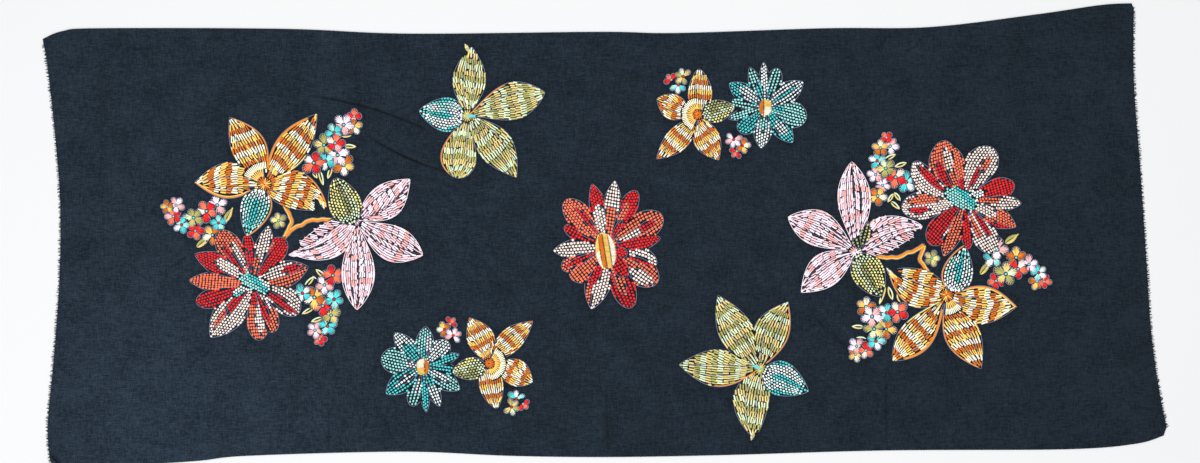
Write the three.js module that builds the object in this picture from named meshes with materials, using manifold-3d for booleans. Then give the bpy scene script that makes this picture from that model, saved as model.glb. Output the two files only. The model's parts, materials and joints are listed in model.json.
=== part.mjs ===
// Embroidered wool shawl, laid flat.
//
// One woven panel, 1.2 mm thick, with a short cut fringe at each end and thread embroidery on its
// face: two large bouquets, two olive lilies, two small lily and dahlia pairs and a dahlia between
// them. Millimetres, +Z up, +X along the shawl. The origin is on the underside, at its middle.

import * as THREE from 'three';
import { mergeVertices } from 'three/addons/utils/BufferGeometryUtils.js';
import Module from 'manifold-3d';

const wasm = await Module();
wasm.setup();

// ---- Driving dimensions -------------------------------------------------------------------------

const WALL = 1.2; // the woven cloth
const GAP = 0.3; // between neighbouring pieces
const STITCH = 0.8; // how far the embroidery stands on the cloth
const FRINGE_REACH = 5; // the cut warp ends past each short edge
const STEP = 15; // the grid that a folded patch of cloth is worked out on
const SHEET = { x: [-990, 990], y: [-420, 420] }; // larger than the shawl, which is cut out of it
const TALL = 30; // tall enough for an upright cutter to pass the whole relief
const EDGE_STEPS = 4; // straight steps between two neighbouring points of an edge

// ---- The panel's edges --------------------------------------------------------------------------
// Each edge is a smooth curve through a few points, laid a little unevenly by hand.

const EDGE = {
  north: [
    { x: -944, y: 330 }, { x: -912, y: 343 }, { x: -850, y: 348 }, { x: -540, y: 347 },
    { x: -330, y: 339 }, { x: -10, y: 342 }, { x: 120, y: 340 }, { x: 370, y: 348 },
    { x: 545, y: 350 }, { x: 722, y: 371 }, { x: 832, y: 387 }, { x: 884, y: 390 },
  ],
  east: [
    { x: 888, y: 382 }, { x: 888, y: 260 }, { x: 899, y: 110 }, { x: 909, y: -41 },
    { x: 918, y: -170 }, { x: 932, y: -268 }, { x: 943, y: -322 },
  ],
  south: [
    { x: 938, y: -336 }, { x: 890, y: -350 }, { x: 773, y: -359 }, { x: 470, y: -361 },
    { x: 190, y: -369 }, { x: 0, y: -372 }, { x: -160, y: -370 }, { x: -340, y: -363 },
    { x: -600, y: -370 }, { x: -690, y: -379 }, { x: -850, y: -389 }, { x: -912, y: -390 },
  ],
  west: [
    { x: -930, y: -381 }, { x: -936, y: -320 }, { x: -925, y: -200 }, { x: -916, y: -68 },
    { x: -915, y: 58 }, { x: -925, y: 184 }, { x: -937, y: 290 }, { x: -943, y: 322 },
  ],
};

// ---- The folds ----------------------------------------------------------------------------------
// Soft ridges left in the laid cloth: the line of the crest, half the width at its foot, and height.

const FOLDS = [
  { crest: [[-450, 224], [-346, 168], [-250, 122]], half: 29, height: 4.2 }, // below the olive lily
  { crest: [[-322, 70], [-227, 66], [-128, 48]], half: 19, height: 2.6 },
  { crest: [[-204, -76], [-126, -113], [-30, -142]], half: 20, height: 2.6 },
  { crest: [[22, 104], [143, 83], [278, 57]], half: 20, height: 2.6 },
  { crest: [[312, -116], [350, -142], [392, -192], [440, -236]], half: 24, height: 3.0 },
  { crest: [[-950, -352], [-922, -376], [-896, -410]], half: 26, height: 3.4 }, // lifted corner
];

// The oblongs of the sheet that hold those folds, in whole steps of the grid. The rest is level.
const FOLDED = [
  { x: [-480, -210], y: [90, 255] },
  { x: [-345, -105], y: [15, 90] },
  { x: [-240, 0], y: [-180, -45] },
  { x: [0, 300], y: [30, 135] },
  { x: [285, 465], y: [-270, -90] },
  { x: [-990, -870], y: [-420, -315] },
];

// ---- The embroidery -----------------------------------------------------------------------------
// A petal's half width is sin(pi t^lean)^blunt along its axis, for t from root to tip.

const FORM = {
  lily: { lean: 1.35, blunt: 0.85 },
  full: { lean: 1.05, blunt: 0.95 },
  broad: { lean: 0.85, blunt: 0.7 },
  round: { lean: 1.8, blunt: 0.55 },
  pointed: { lean: 1.15, blunt: 0.8 },
  bud: { lean: 0.68, blunt: 0.75 },
  leaf: { lean: 1, blunt: 1 },
};
const SIDE_STEPS = 5; // points along each side of a petal, between root and tip
const LEAF_STEPS = 2;

// Each petal: the angle it points at, its length and width, its bow to the left, and its form.
// A fan of rays lies over some of the petals' roots: its two angles and its reach.
const LILY = {
  gold: {
    heart: 14,
    fan: { start: 93, end: 158, reach: 38 },
    petals: [
      [117.4, 127, 58, -0.045, 'full'], [53.2, 148, 56, 0, 'full'],
      [178.5, 117, 60, -0.04, 'full'], [-20, 111, 63, 0.08, 'broad'],
    ],
  },
  goldEast: {
    heart: 14,
    fan: { start: 264, end: 322, reach: 34 },
    petals: [
      [295, 137, 59, -0.035, 'full'], [230.5, 143, 56, 0.03, 'lily'],
      [350.5, 119, 63, -0.05, 'full'], [158, 104, 64, 0.07, 'broad'],
    ],
  },
  pink: {
    heart: 13,
    petals: [
      [36.5, 114, 57, -0.055, 'full'], [-28, 128, 59, -0.05, 'lily'],
      [-89, 152, 55, 0.02, 'lily'], [-151.5, 120, 57, 0.09, 'broad'],
    ],
  },
  pinkEast: {
    heart: 13,
    petals: [
      [37.5, 114, 56, -0.055, 'full'], [-26.5, 128, 59, -0.05, 'lily'],
      [-86.5, 152, 55, -0.01, 'lily'], [-157.5, 120, 57, 0.09, 'broad'],
    ],
  },
  olive: {
    heart: 13,
    petals: [
      [86, 116, 55, 0, 'full'], [16.6, 137, 62, 0.015, 'lily'],
      [-51, 133, 58, 0.04, 'full'], [-98.5, 106, 60, -0.04, 'round'],
    ],
  },
  oliveEast: {
    heart: 13,
    petals: [
      [264.5, 115, 59, -0.09, 'broad'], [177, 137, 62, 0.02, 'full'],
      [120, 143, 57, 0.03, 'full'], [67.6, 122, 59, 0.053, 'full'],
    ],
  },
  small: {
    heart: 10,
    fan: { start: 98, end: 247, reach: 29 },
    petals: [
      [89.5, 77, 40, -0.03, 'broad'], [159, 75, 42, 0.05, 'lily'],
      [-133.5, 103, 39, 0.03, 'full'], [-66, 84, 44, -0.05, 'full'],
    ],
  },
  smallWest: {
    heart: 10,
    fan: { start: 98, end: 247, reach: 29 },
    petals: [
      [100, 77, 40, -0.03, 'broad'], [157, 80, 44, 0.05, 'lily'],
      [-136, 103, 39, 0.03, 'full'], [-67, 84, 45, -0.05, 'full'],
    ],
  },
};

const DAHLIA = {
  red: {
    core: 45,
    petals: [
      [17, 97, 44, 0, 'pointed'], [55, 93, 40, 0.03, 'round'], [75, 101, 34, -0.03, 'pointed'],
      [97, 86, 20, 0, 'round'], [123, 106, 42, 0, 'round'], [153, 110, 39, -0.03, 'pointed'],
      [177, 108, 35, 0, 'pointed'], [198.5, 101, 34, 0.02, 'round'], [231.5, 115, 51, 0, 'pointed'],
      [276.5, 96, 37, 0.02, 'round'], [294, 89, 34, 0, 'round'], [328, 92, 44, 0.06, 'round'],
    ],
  },
  redEast: {
    core: 45,
    petals: [
      [111, 107, 50, 0.1, 'round'], [102, 91, 28, 0, 'round'], [62, 101, 53, 0.04, 'round'],
      [18, 89, 37, 0, 'round'], [-3, 97, 33, 0, 'pointed'], [-27, 98, 38, 0, 'pointed'],
      [-60, 102, 41, 0, 'round'], [-85, 82, 20, 0, 'round'], [-110, 100, 34, 0, 'pointed'],
      [-128.5, 94, 43, 0, 'round'], [187, 106, 46, 0, 'round'], [143.6, 107, 40, 0.13, 'round'],
    ],
  },
  middle: {
    core: 46,
    petals: [
      [30, 108, 47, 0, 'round'], [10, 92, 33, 0, 'pointed'], [-19, 89, 36, 0.02, 'round'],
      [-35, 104, 47, 0, 'round'], [-68, 110, 39, 0, 'round'], [-104, 107, 44, 0, 'pointed'],
      [222, 80, 43, 0.02, 'round'], [205, 84, 32, 0, 'round'], [183.5, 90, 35, 0, 'pointed'],
      [154, 80, 24, 0, 'round'], [131.5, 106, 41, 0, 'round'], [103, 110, 32, -0.02, 'pointed'],
      [83, 113, 34, 0, 'pointed'], [62.5, 108, 31, 0, 'round'],
    ],
  },
  teal: {
    core: 32,
    petals: [
      [34, 77, 36, 0, 'pointed'], [72, 69, 26, 0, 'round'], [92, 77, 18, 0, 'pointed'],
      [111, 73, 23, 0, 'pointed'], [146, 73, 33, 0, 'pointed'], [170, 57, 24, 0, 'round'],
      [197, 65, 20, 0, 'pointed'], [223, 60, 32, 0, 'round'], [264, 69, 31, 0, 'pointed'],
      [308, 75, 32, 0, 'pointed'], [345, 72, 43, 0, 'round'],
    ],
  },
};

// Sprays of small blossoms and leaves, each about its own middle.
const SPRAY = {
  tall: {
    blossoms: [
      { x: 36, y: 50, r: 12 }, { x: 18, y: 36, r: 17 }, { x: 35, y: 33, r: 13 }, { x: 2, y: 23, r: 14 },
      { x: 4, y: 5, r: 16 }, { x: -15, y: 2, r: 16 }, { x: 8, y: -15, r: 18 }, { x: 18, y: -32, r: 17 },
      { x: -32, y: -28, r: 18 }, { x: -12, y: -25, r: 15 },
    ],
    leaves: [
      { x: 21, y: 18, angle: 0, length: 20, width: 8 }, { x: 28, y: 0, angle: -5, length: 22, width: 8 },
      { x: -31, y: -46, angle: -60, length: 18, width: 8 },
      { x: -20, y: -51, angle: -75, length: 30, width: 8 },
      { x: -5, y: -44, angle: 72, length: 22, width: 8 },
    ],
  },
  long: {
    blossoms: [
      { x: -51, y: 22, r: 11 }, { x: -36, y: 25, r: 13 }, { x: -41, y: 6, r: 14 }, { x: -27, y: -8, r: 14 },
      { x: -7, y: 4, r: 16 }, { x: -4, y: -18, r: 14 }, { x: 15, y: 15, r: 18 }, { x: 33, y: 25, r: 16 },
      { x: 35, y: -5, r: 13 }, { x: 25, y: -25, r: 16 },
    ],
    leaves: [
      { x: 51, y: 7, angle: 60, length: 32, width: 12 }, { x: 9, y: -37, angle: 38, length: 34, width: 12 },
    ],
  },
  deep: {
    blossoms: [
      { x: 20, y: 46, r: 16 }, { x: 6, y: 30, r: 15 }, { x: -31, y: 16, r: 15 }, { x: -11, y: 9, r: 18 },
      { x: 22, y: 6, r: 16 }, { x: 3, y: -5, r: 16 }, { x: 17, y: -21, r: 15 }, { x: 11, y: -39, r: 15 },
      { x: -10, y: -46, r: 14 }, { x: -2, y: -61, r: 11 },
    ],
    leaves: [
      { x: 0, y: 49, angle: -40, length: 22, width: 9 }, { x: -20, y: 35, angle: 47, length: 24, width: 9 },
      { x: -9, y: 37, angle: -58, length: 18, width: 9 }, { x: -21, y: -13, angle: 28, length: 24, width: 8 },
      { x: -6, y: -28, angle: 20, length: 22, width: 8 },
    ],
  },
  tallEast: {
    blossoms: [
      { x: -21, y: 30.5, r: 15 }, { x: -10.4, y: 14, r: 17.5 }, { x: 13.6, y: 20.3, r: 15 },
      { x: 32.3, y: 21.5, r: 17 },
      { x: 13.2, y: -7.4, r: 15.5 }, { x: -7, y: -7, r: 17 }, { x: -4, y: -27.3, r: 15 },
      { x: -36.7, y: -35.9, r: 13.5 },
      { x: -20.9, y: -43, r: 13 }, { x: -38.5, y: -49.5, r: 12 },
    ],
    leaves: [
      { x: -33.3, y: -3.3, angle: -3, length: 22, width: 8 },
      { x: -27, y: -23.5, angle: -12, length: 20, width: 8 },
      { x: 20.3, y: 53, angle: -73, length: 23, width: 9.5 },
      { x: 35.6, y: 43.6, angle: -62, length: 18, width: 8 },
      { x: 6.8, y: 48.8, angle: 70, length: 30, width: 6 },
    ],
  },
  longEast: {
    blossoms: [
      { x: -28, y: 29.3, r: 18 }, { x: 3.4, y: 16, r: 16.5 }, { x: 6.4, y: -3, r: 16.5 },
      { x: 25, y: 4.5, r: 14 },
      { x: 41.3, y: -9.4, r: 14 }, { x: 38.3, y: -24.4, r: 13 }, { x: 50.3, y: -24.4, r: 11.5 },
      { x: -35, y: 15.4, r: 15 },
      { x: -14.2, y: -11.6, r: 18 }, { x: -30.4, y: -23.2, r: 14 },
    ],
    leaves: [
      { x: -5, y: 47, angle: 35, length: 30, width: 13 }, { x: -49, y: -2, angle: 52, length: 32, width: 12 },
    ],
  },
  deepEast: {
    blossoms: [
      { x: -1.4, y: 57.5, r: 10.5 }, { x: 5, y: 43, r: 14 }, { x: -11.5, y: 40, r: 13.5 },
      { x: -17, y: 18.5, r: 14 },
      { x: -2.6, y: 5.7, r: 15 }, { x: -19.8, y: -4.8, r: 13.5 }, { x: 14, y: -9.2, r: 17 },
      { x: 32, y: -17.5, r: 16.5 },
      { x: -16, y: -40.8, r: 15 }, { x: -7.8, y: -22.8, r: 13 },
    ],
    leaves: [
      { x: 4.2, y: 24.5, angle: 26, length: 22, width: 8 },
      { x: 22.3, y: 11.8, angle: 19, length: 21, width: 9 },
      { x: 16.9, y: -41.5, angle: -54, length: 17, width: 8 },
      { x: 5.6, y: -43.8, angle: 56, length: 17, width: 7 },
      { x: 12.5, y: -55.4, angle: -41, length: 22, width: 8 },
    ],
  },
  trioWest: {
    blossoms: [{ x: 7, y: 6, r: 13 }, { x: -11, y: 1, r: 11 }, { x: 0, y: -11, r: 12 }],
    leaves: [],
  },
  trioEast: {
    blossoms: [{ x: -6, y: 9, r: 12 }, { x: 10, y: 0, r: 11 }, { x: -3, y: -11, r: 12 }],
    leaves: [],
  },
  single: { blossoms: [{ x: 0, y: 0, r: 12.5 }], leaves: [] },
};

// The forked stems: each arm is a band of this width along its line.
const STEM = {
  width: 8,
  west: [
    [{ x: 60, y: 17 }, { x: 21, y: 17 }, { x: 2, y: 9 }, { x: -15, y: 0 }, { x: -27, y: -13 }],
    [{ x: -27, y: 41 }, { x: -15, y: 20 }, { x: -18, y: 4 }, { x: -27, y: -13 }],
  ],
  east: [
    [{ x: -58, y: -8 }, { x: -21, y: -10 }, { x: -5, y: -4 }, { x: 9, y: 1 }, { x: 28, y: 11 }],
    [{ x: 39, y: -39 }, { x: 28, y: -27 }, { x: 20, y: -12 }, { x: 23, y: -1 }, { x: 28, y: 11 }],
  ],
};

// Where each motif is worked. In a group, a later piece stops short of the earlier ones.
const GROUPS = {
  west: [
    { name: 'teal_bud', kind: 'bud', length: 82, width: 52, x: -576, y: 77, turn: -108, thread: 'teal' },
    { name: 'olive_bud', kind: 'bud', length: 82, width: 54, x: -424, y: 20, turn: 111, thread: 'olive' },
    { name: 'gold_lily', kind: 'lily', form: 'gold', x: -572, y: 86, turn: 0, thread: 'gold' },
    { name: 'pink_lily', kind: 'lily', form: 'pink', x: -419, y: 27, turn: 0, thread: 'pink' },
    { name: 'red_dahlia', kind: 'dahlia', form: 'red', x: -591, y: -81, turn: 0, thread: 'red' },
    { name: 'stem', kind: 'stem', form: 'west', x: -512, y: 9, turn: 0, thread: 'orange' },
    { name: 'spray_tall', kind: 'spray', form: 'tall', x: -457, y: 150, turn: 0, thread: 'mixed' },
    { name: 'spray_long', kind: 'spray', form: 'long', x: -684, y: 26, turn: 0, thread: 'mixed' },
    { name: 'spray_deep', kind: 'spray', form: 'deep', x: -477, y: -113, turn: 0, thread: 'mixed' },
    { name: 'blossom', kind: 'spray', form: 'single', x: -548, y: 25, turn: 0, thread: 'mixed' },
  ],
  east: [
    { name: 'teal_bud', kind: 'bud', length: 80, width: 52, x: 584, y: -94, turn: 76, thread: 'teal' },
    { name: 'olive_bud', kind: 'bud', length: 80, width: 54, x: 425, y: -32, turn: -61, thread: 'olive' },
    { name: 'gold_lily', kind: 'lily', form: 'goldEast', x: 574, y: -100, turn: 0, thread: 'gold' },
    { name: 'pink_lily', kind: 'lily', form: 'pinkEast', x: 421, y: -28, turn: 179, thread: 'pink' },
    { name: 'red_dahlia', kind: 'dahlia', form: 'redEast', x: 603, y: 59, turn: 0, thread: 'red' },
    { name: 'stem', kind: 'stem', form: 'east', x: 509, y: -27, turn: 0, thread: 'orange' },
    { name: 'spray_tall', kind: 'spray', form: 'tallEast', x: 459, y: -150, turn: 0, thread: 'mixed' },
    { name: 'spray_long', kind: 'spray', form: 'longEast', x: 687, y: -53, turn: 0, thread: 'mixed' },
    { name: 'spray_deep', kind: 'spray', form: 'deepEast', x: 474, y: 107, turn: 0, thread: 'mixed' },
    { name: 'blossom', kind: 'spray', form: 'single', x: 549, y: -38, turn: 180, thread: 'mixed' },
  ],
  northwest: [
    { name: 'teal_bud', kind: 'bud', length: 74, width: 57, x: -239, y: 199, turn: 172, thread: 'teal' },
    { name: 'olive_lily', kind: 'lily', form: 'olive', x: -232, y: 201, turn: 0, thread: 'olive' },
  ],
  southeast: [
    { name: 'teal_bud', kind: 'bud', length: 82, width: 57, x: 267, y: -227, turn: -25, thread: 'teal' },
    { name: 'olive_lily', kind: 'lily', form: 'oliveEast', x: 261, y: -224, turn: 0, thread: 'olive' },
  ],
  northeast: [
    { name: 'olive_bud', kind: 'bud', length: 56, width: 37, x: 163, y: 203, turn: 14, thread: 'olive' },
    { name: 'gold_lily', kind: 'lily', form: 'small', x: 157, y: 203, turn: 0, thread: 'gold' },
    { name: 'teal_dahlia', kind: 'dahlia', form: 'teal', x: 269, y: 215, turn: 0, thread: 'teal' },
    { name: 'trio_upper', kind: 'spray', form: 'trioWest', x: 122, y: 260, turn: 0, thread: 'mixed' },
    { name: 'trio_lower', kind: 'spray', form: 'trioEast', x: 222, y: 150, turn: 0, thread: 'mixed' },
  ],
  southwest: [
    { name: 'olive_bud', kind: 'bud', length: 56, width: 37, x: -201, y: -219, turn: 191, thread: 'olive' },
    { name: 'gold_lily', kind: 'lily', form: 'smallWest', x: -195, y: -215, turn: 180, thread: 'gold' },
    { name: 'teal_dahlia', kind: 'dahlia', form: 'teal', x: -305.5, y: -220.5, turn: 182, thread: 'teal' },
    { name: 'trio_lower', kind: 'spray', form: 'trioWest', x: -148, y: -281, turn: 180, thread: 'mixed' },
    { name: 'trio_upper', kind: 'spray', form: 'trioEast', x: -261, y: -157, turn: 180, thread: 'mixed' },
  ],
  middle: [
    { name: 'red_dahlia', kind: 'dahlia', form: 'middle', x: 3, y: -20, turn: 0, thread: 'red' },
  ],
};

// ---- Materials ----------------------------------------------------------------------------------

const finish = (color, roughness) => new THREE.MeshStandardMaterial({ color, roughness, metalness: 0 });

const MATERIAL = {
  wool: finish(0x262f39, 0.92),
  red: finish(0xd9503f, 0.6),
  teal: finish(0x7fcdc9, 0.6),
  gold: finish(0xe0a04a, 0.6),
  pink: finish(0xefc5cd, 0.6),
  olive: finish(0xb4b273, 0.6),
  orange: finish(0xe08c33, 0.6),
  mixed: finish(0xd9a7a0, 0.6),
};

// ---- Solids -------------------------------------------------------------------------------------

const radians = THREE.MathUtils.degToRad;

/** A closed three.js geometry as a solid that can be cut and joined. */
function solidOf(geometry) {
  const bare = geometry.clone();
  bare.deleteAttribute('normal');
  bare.deleteAttribute('uv');
  const merged = mergeVertices(bare, 1e-4);
  const mesh = new wasm.Mesh({
    numProp: 3,
    vertProperties: new Float32Array(merged.attributes.position.array),
    triVerts: new Uint32Array(merged.index.array),
  });
  return new wasm.Manifold(mesh);
}

/** A solid back as a three.js geometry. */
function geometryOf(solid) {
  const mesh = solid.getMesh();
  const geometry = new THREE.BufferGeometry();
  geometry.setAttribute('position', new THREE.BufferAttribute(mesh.vertProperties, 3));
  geometry.setIndex(new THREE.BufferAttribute(mesh.triVerts, 1));
  geometry.computeVertexNormals();
  return geometry;
}

/** The upright solid over a closed outline, taller than the whole relief. */
function prism(outline) {
  const geometry = new THREE.ExtrudeGeometry(new THREE.Shape(outline), { depth: TALL, bevelEnabled: false });
  geometry.translate(0, 0, -TALL / 3);
  return solidOf(geometry);
}

const join = (solids) => solids.reduce((whole, next) => whole.add(next));

/** How far a point of the cloth is lifted: a cosine hump across each crest, tapered at its ends. */
function lift(x, y) {
  let height = 0;
  for (const fold of FOLDS) {
    const lengths = fold.crest.slice(1).map(([ex, ey], i) => {
      const [sx, sy] = fold.crest[i];
      return Math.hypot(ex - sx, ey - sy);
    });
    const total = lengths.reduce((sum, length) => sum + length);
    let passed = 0;
    let nearest = { away: Infinity, along: 0 };
    lengths.forEach((length, i) => {
      const [sx, sy] = fold.crest[i];
      const [ex, ey] = fold.crest[i + 1];
      const share = ((x - sx) * (ex - sx) + (y - sy) * (ey - sy)) / length ** 2;
      const held = THREE.MathUtils.clamp(share, 0, 1);
      const away = Math.hypot(x - sx - held * (ex - sx), y - sy - held * (ey - sy));
      if (away < nearest.away) nearest = { away, along: (passed + held * length) / total };
      passed += length;
    });
    if (nearest.away < fold.half) {
      const across = 0.5 + 0.5 * Math.cos((Math.PI * nearest.away) / fold.half);
      height += fold.height * across * Math.sin(Math.PI * nearest.along);
    }
  }
  return height;
}

const span = ([from, to]) => ({ size: to - from, middle: (from + to) / 2 });
const counted = (count, make) => Array.from({ length: count }, (_, i) => make(i));

/** A plain block over an oblong, between two heights. */
function block({ x, y }, low, high) {
  const geometry = new THREE.BoxGeometry(span(x).size, span(y).size, high - low);
  return geometry.translate(span(x).middle, span(y).middle, (low + high) / 2);
}

/** A folded block over an oblong: one grid at two heights, face and underside, walled round its rim. */
function foldedBlock({ x, y }, low, high) {
  const columns = span(x).size / STEP;
  const rows = span(y).size / STEP;
  const grid = new THREE.PlaneGeometry(span(x).size, span(y).size, columns, rows);
  const { array, count } = grid.translate(span(x).middle, span(y).middle, 0).attributes.position;
  const layer = (level) =>
    counted(count, (i) => [array[3 * i], array[3 * i + 1], level + lift(array[3 * i], array[3 * i + 1])]);
  const faces = counted(grid.index.count / 3, (i) => {
    const [a, b, c] = grid.index.array.slice(3 * i, 3 * i + 3);
    return [a + count, b + count, c + count, c, b, a];
  });
  const at = (row, column) => row * (columns + 1) + column;
  const rim = [
    ...counted(columns, (i) => at(rows, i)),
    ...counted(rows, (i) => at(rows - i, columns)),
    ...counted(columns, (i) => at(0, columns - i)),
    ...counted(rows, (i) => at(i, 0)),
  ];
  const walls = rim.map((a, i) => {
    const b = rim[(i + 1) % rim.length];
    return [a, b, b + count, a, b + count, a + count];
  });
  const geometry = new THREE.BufferGeometry();
  const points = [...layer(low), ...layer(high)].flat();
  geometry.setAttribute('position', new THREE.Float32BufferAttribute(points, 3));
  return geometry.setIndex([...faces, ...walls].flat());
}

/** The sheet between two heights above its underside, level but for the folded oblongs. */
function sheet(low, high) {
  return FOLDED.reduce(
    (whole, oblong) =>
      whole.subtract(solidOf(block(oblong, -TALL, TALL))).add(solidOf(foldedBlock(oblong, low, high))),
    solidOf(block(SHEET, low, high)),
  );
}

// ---- Outlines -----------------------------------------------------------------------------------

const curve = (points) => new THREE.SplineCurve(points.map(({ x, y }) => new THREE.Vector2(x, y)));

/** An edge of the panel as straight steps along its smooth curve. */
const edgeLine = (points) => curve(points).getPoints((points.length - 1) * EDGE_STEPS);

/** A line moved sideways: each point goes along the normal on the left of its direction. */
function moved(line, distance) {
  return line.map((point, i) => {
    const before = line[Math.max(i - 1, 0)];
    const after = line[Math.min(i + 1, line.length - 1)];
    const along = after.clone().sub(before).normalize();
    return new THREE.Vector2(point.x - along.y * distance, point.y + along.x * distance);
  });
}

/** A petal, bud or leaf: two sides about a bowed axis, with grow added all round. */
function petalOutline([length, width, bow, form], steps, grow = 0) {
  const { lean, blunt } = FORM[form];
  const half = (t) => (width / 2 + grow) * Math.sin(Math.PI * t ** lean) ** blunt;
  const reach = length + 2 * grow;
  const at = (t, side) =>
    new THREE.Vector2(reach * t - grow, 4 * bow * length * t * (1 - t) + side * half(t));
  const shares = counted(steps, (i) => 0.5 - 0.5 * Math.cos((Math.PI * (i + 1)) / (steps + 1)));
  return [
    at(0, 0),
    ...shares.map((t) => at(t, -1)),
    at(1, 0),
    ...shares.map((t) => at(t, 1)).reverse(),
  ];
}

/** An outline turned about the origin, then moved. */
function turned(outline, angle, x = 0, y = 0) {
  const middle = new THREE.Vector2();
  return outline.map((p) => p.clone().rotateAround(middle, radians(angle)).add(new THREE.Vector2(x, y)));
}

/** Points at a radius about a place, in even steps of angle from one angle on. */
const arc = (x, y, radius, steps, start, step) =>
  counted(steps, (i) => {
    const angle = radians(start + i * step);
    return new THREE.Vector2(x + radius * Math.cos(angle), y + radius * Math.sin(angle));
  });

const disc = (x, y, radius, sides) => arc(x, y, radius, sides, 0, 360 / sides);

// ---- Motifs: each gives its outlines, which overlap one another, about its own middle ------------

/** A round middle with petals about it. */
function flowerOutlines(middle, petals, grow) {
  return [
    disc(0, 0, middle + grow, 10),
    ...petals.map(([angle, ...petal]) => turned(petalOutline(petal, SIDE_STEPS, grow), angle)),
  ];
}

/** The sector that a lily's fan covers. */
function fanOutline({ start, end, reach }, grow) {
  const steps = Math.ceil((end - start) / 20);
  return [new THREE.Vector2(), ...arc(0, 0, reach + grow, steps + 1, start, (end - start) / steps)];
}

function lilyOutlines({ form }, grow) {
  const { heart, petals, fan } = LILY[form];
  return [...flowerOutlines(heart, petals, grow), ...(fan ? [fanOutline(fan, grow)] : [])];
}

const dahliaOutlines = ({ form }, grow) => flowerOutlines(DAHLIA[form].core, DAHLIA[form].petals, grow);

const budOutlines = ({ length, width }, grow) => [petalOutline([length, width, 0, 'bud'], SIDE_STEPS, grow)];

function sprayOutlines({ form }, grow) {
  const { blossoms, leaves } = SPRAY[form];
  return [
    ...blossoms.map(({ x, y, r }) => disc(x, y, r + grow, 7)),
    ...leaves.map(({ x, y, angle, length, width }) => {
      const leaf = petalOutline([length, width, 0, 'leaf'], LEAF_STEPS, grow);
      return turned(leaf.map((p) => p.setX(p.x - length / 2)), angle, x, y);
    }),
  ];
}

function stemOutlines({ form }, grow) {
  return STEM[form].map((arm) => {
    const line = curve(arm).getPoints(6);
    const half = STEM.width / 2 + grow;
    return [...moved(line, -half), ...moved(line, half).reverse()];
  });
}

const OUTLINES = {
  lily: lilyOutlines,
  dahlia: dahliaOutlines,
  bud: budOutlines,
  spray: sprayOutlines,
  stem: stemOutlines,
};

/** The upright solid over a motif, where it is worked. */
function motifPrism(motif, grow = 0) {
  const outlines = OUTLINES[motif.kind](motif, grow);
  return join(outlines.map((outline) => prism(turned(outline, motif.turn, motif.x, motif.y))));
}

// ---- The shawl ----------------------------------------------------------------------------------

const shawl = new THREE.Group();

function addPiece(name, solid, material) {
  const mesh = new THREE.Mesh(geometryOf(solid), material);
  mesh.name = name;
  shawl.add(mesh);
}

/** The woven panel and the cut fringe along its two short edges. */
function addPanel() {
  const edges = Object.fromEntries(Object.entries(EDGE).map(([side, points]) => [side, edgeLine(points)]));
  const cloth = sheet(0, WALL);
  const panel = prism([...edges.north, ...edges.east, ...edges.south, ...edges.west]);
  addPiece('cloth_panel', cloth.intersect(panel), MATERIAL.wool);
  for (const side of ['west', 'east']) {
    const inner = moved(edges[side], GAP);
    const outer = moved(edges[side], GAP + FRINGE_REACH).reverse();
    const strip = prism([...inner, ...outer]);
    addPiece(`fringe_${side}`, cloth.intersect(strip), MATERIAL.wool);
  }
}

/** Every motif, as a low solid on the cloth's face that stops short of its neighbours. */
function addEmbroidery() {
  const face = sheet(WALL + GAP, WALL + GAP + STITCH);
  for (const [group, motifs] of Object.entries(GROUPS)) {
    const placed = [];
    for (const motif of motifs) {
      const whole = motifPrism(motif);
      const trimmed = placed.length ? whole.subtract(join(placed)) : whole;
      const largest = trimmed.decompose().reduce((a, b) => (b.volume() > a.volume() ? b : a));
      addPiece(`${motif.name}_${group}`, face.intersect(largest), MATERIAL[motif.thread]);
      placed.push(motifPrism(motif, GAP));
    }
  }
}

addPanel();
addEmbroidery();

export default shawl;
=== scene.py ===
"""Embroidered wool shawl, laid flat: the woven panel, its cut fringe and every stitch on its face.

Lengths are millimetres from the middle of the shawl's underside, with +X along the shawl, +Y across
it and +Z up. They become metres where a mesh is made. Angles are degrees, anticlockwise from +X.
"""

import json
import logging
import math
from collections.abc import Callable, Iterable, Sequence
from dataclasses import dataclass, field, replace
from enum import Enum

import bpy
import numpy as np
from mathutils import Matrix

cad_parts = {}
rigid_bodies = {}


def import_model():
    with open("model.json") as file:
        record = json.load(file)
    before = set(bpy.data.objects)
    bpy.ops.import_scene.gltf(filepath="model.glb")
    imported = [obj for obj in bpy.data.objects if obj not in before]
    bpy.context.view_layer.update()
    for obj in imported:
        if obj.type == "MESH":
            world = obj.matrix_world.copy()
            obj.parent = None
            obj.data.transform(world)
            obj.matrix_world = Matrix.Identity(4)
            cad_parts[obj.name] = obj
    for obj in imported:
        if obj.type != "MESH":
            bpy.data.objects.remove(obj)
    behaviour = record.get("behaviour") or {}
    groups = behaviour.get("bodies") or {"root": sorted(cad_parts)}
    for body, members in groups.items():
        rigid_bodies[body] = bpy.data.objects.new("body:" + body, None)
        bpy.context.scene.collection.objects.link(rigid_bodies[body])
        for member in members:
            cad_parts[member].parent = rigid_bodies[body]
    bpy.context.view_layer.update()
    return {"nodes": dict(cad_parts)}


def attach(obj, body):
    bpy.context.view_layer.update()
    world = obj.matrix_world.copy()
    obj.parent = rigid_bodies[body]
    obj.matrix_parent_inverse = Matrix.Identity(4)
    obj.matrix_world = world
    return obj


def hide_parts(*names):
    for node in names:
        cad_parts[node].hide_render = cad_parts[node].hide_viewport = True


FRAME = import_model()

LOG = logging.getLogger("shawl")
Array = np.ndarray
Rng = np.random.Generator
Points = tuple[tuple[float, float], ...]
Faces = Iterable[Array]
Rule = Callable[[Array, Array], Array]  # from the share and t of each stitch
Piece = bpy.types.Object
MM = 0.001
BODY = "root"

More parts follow.
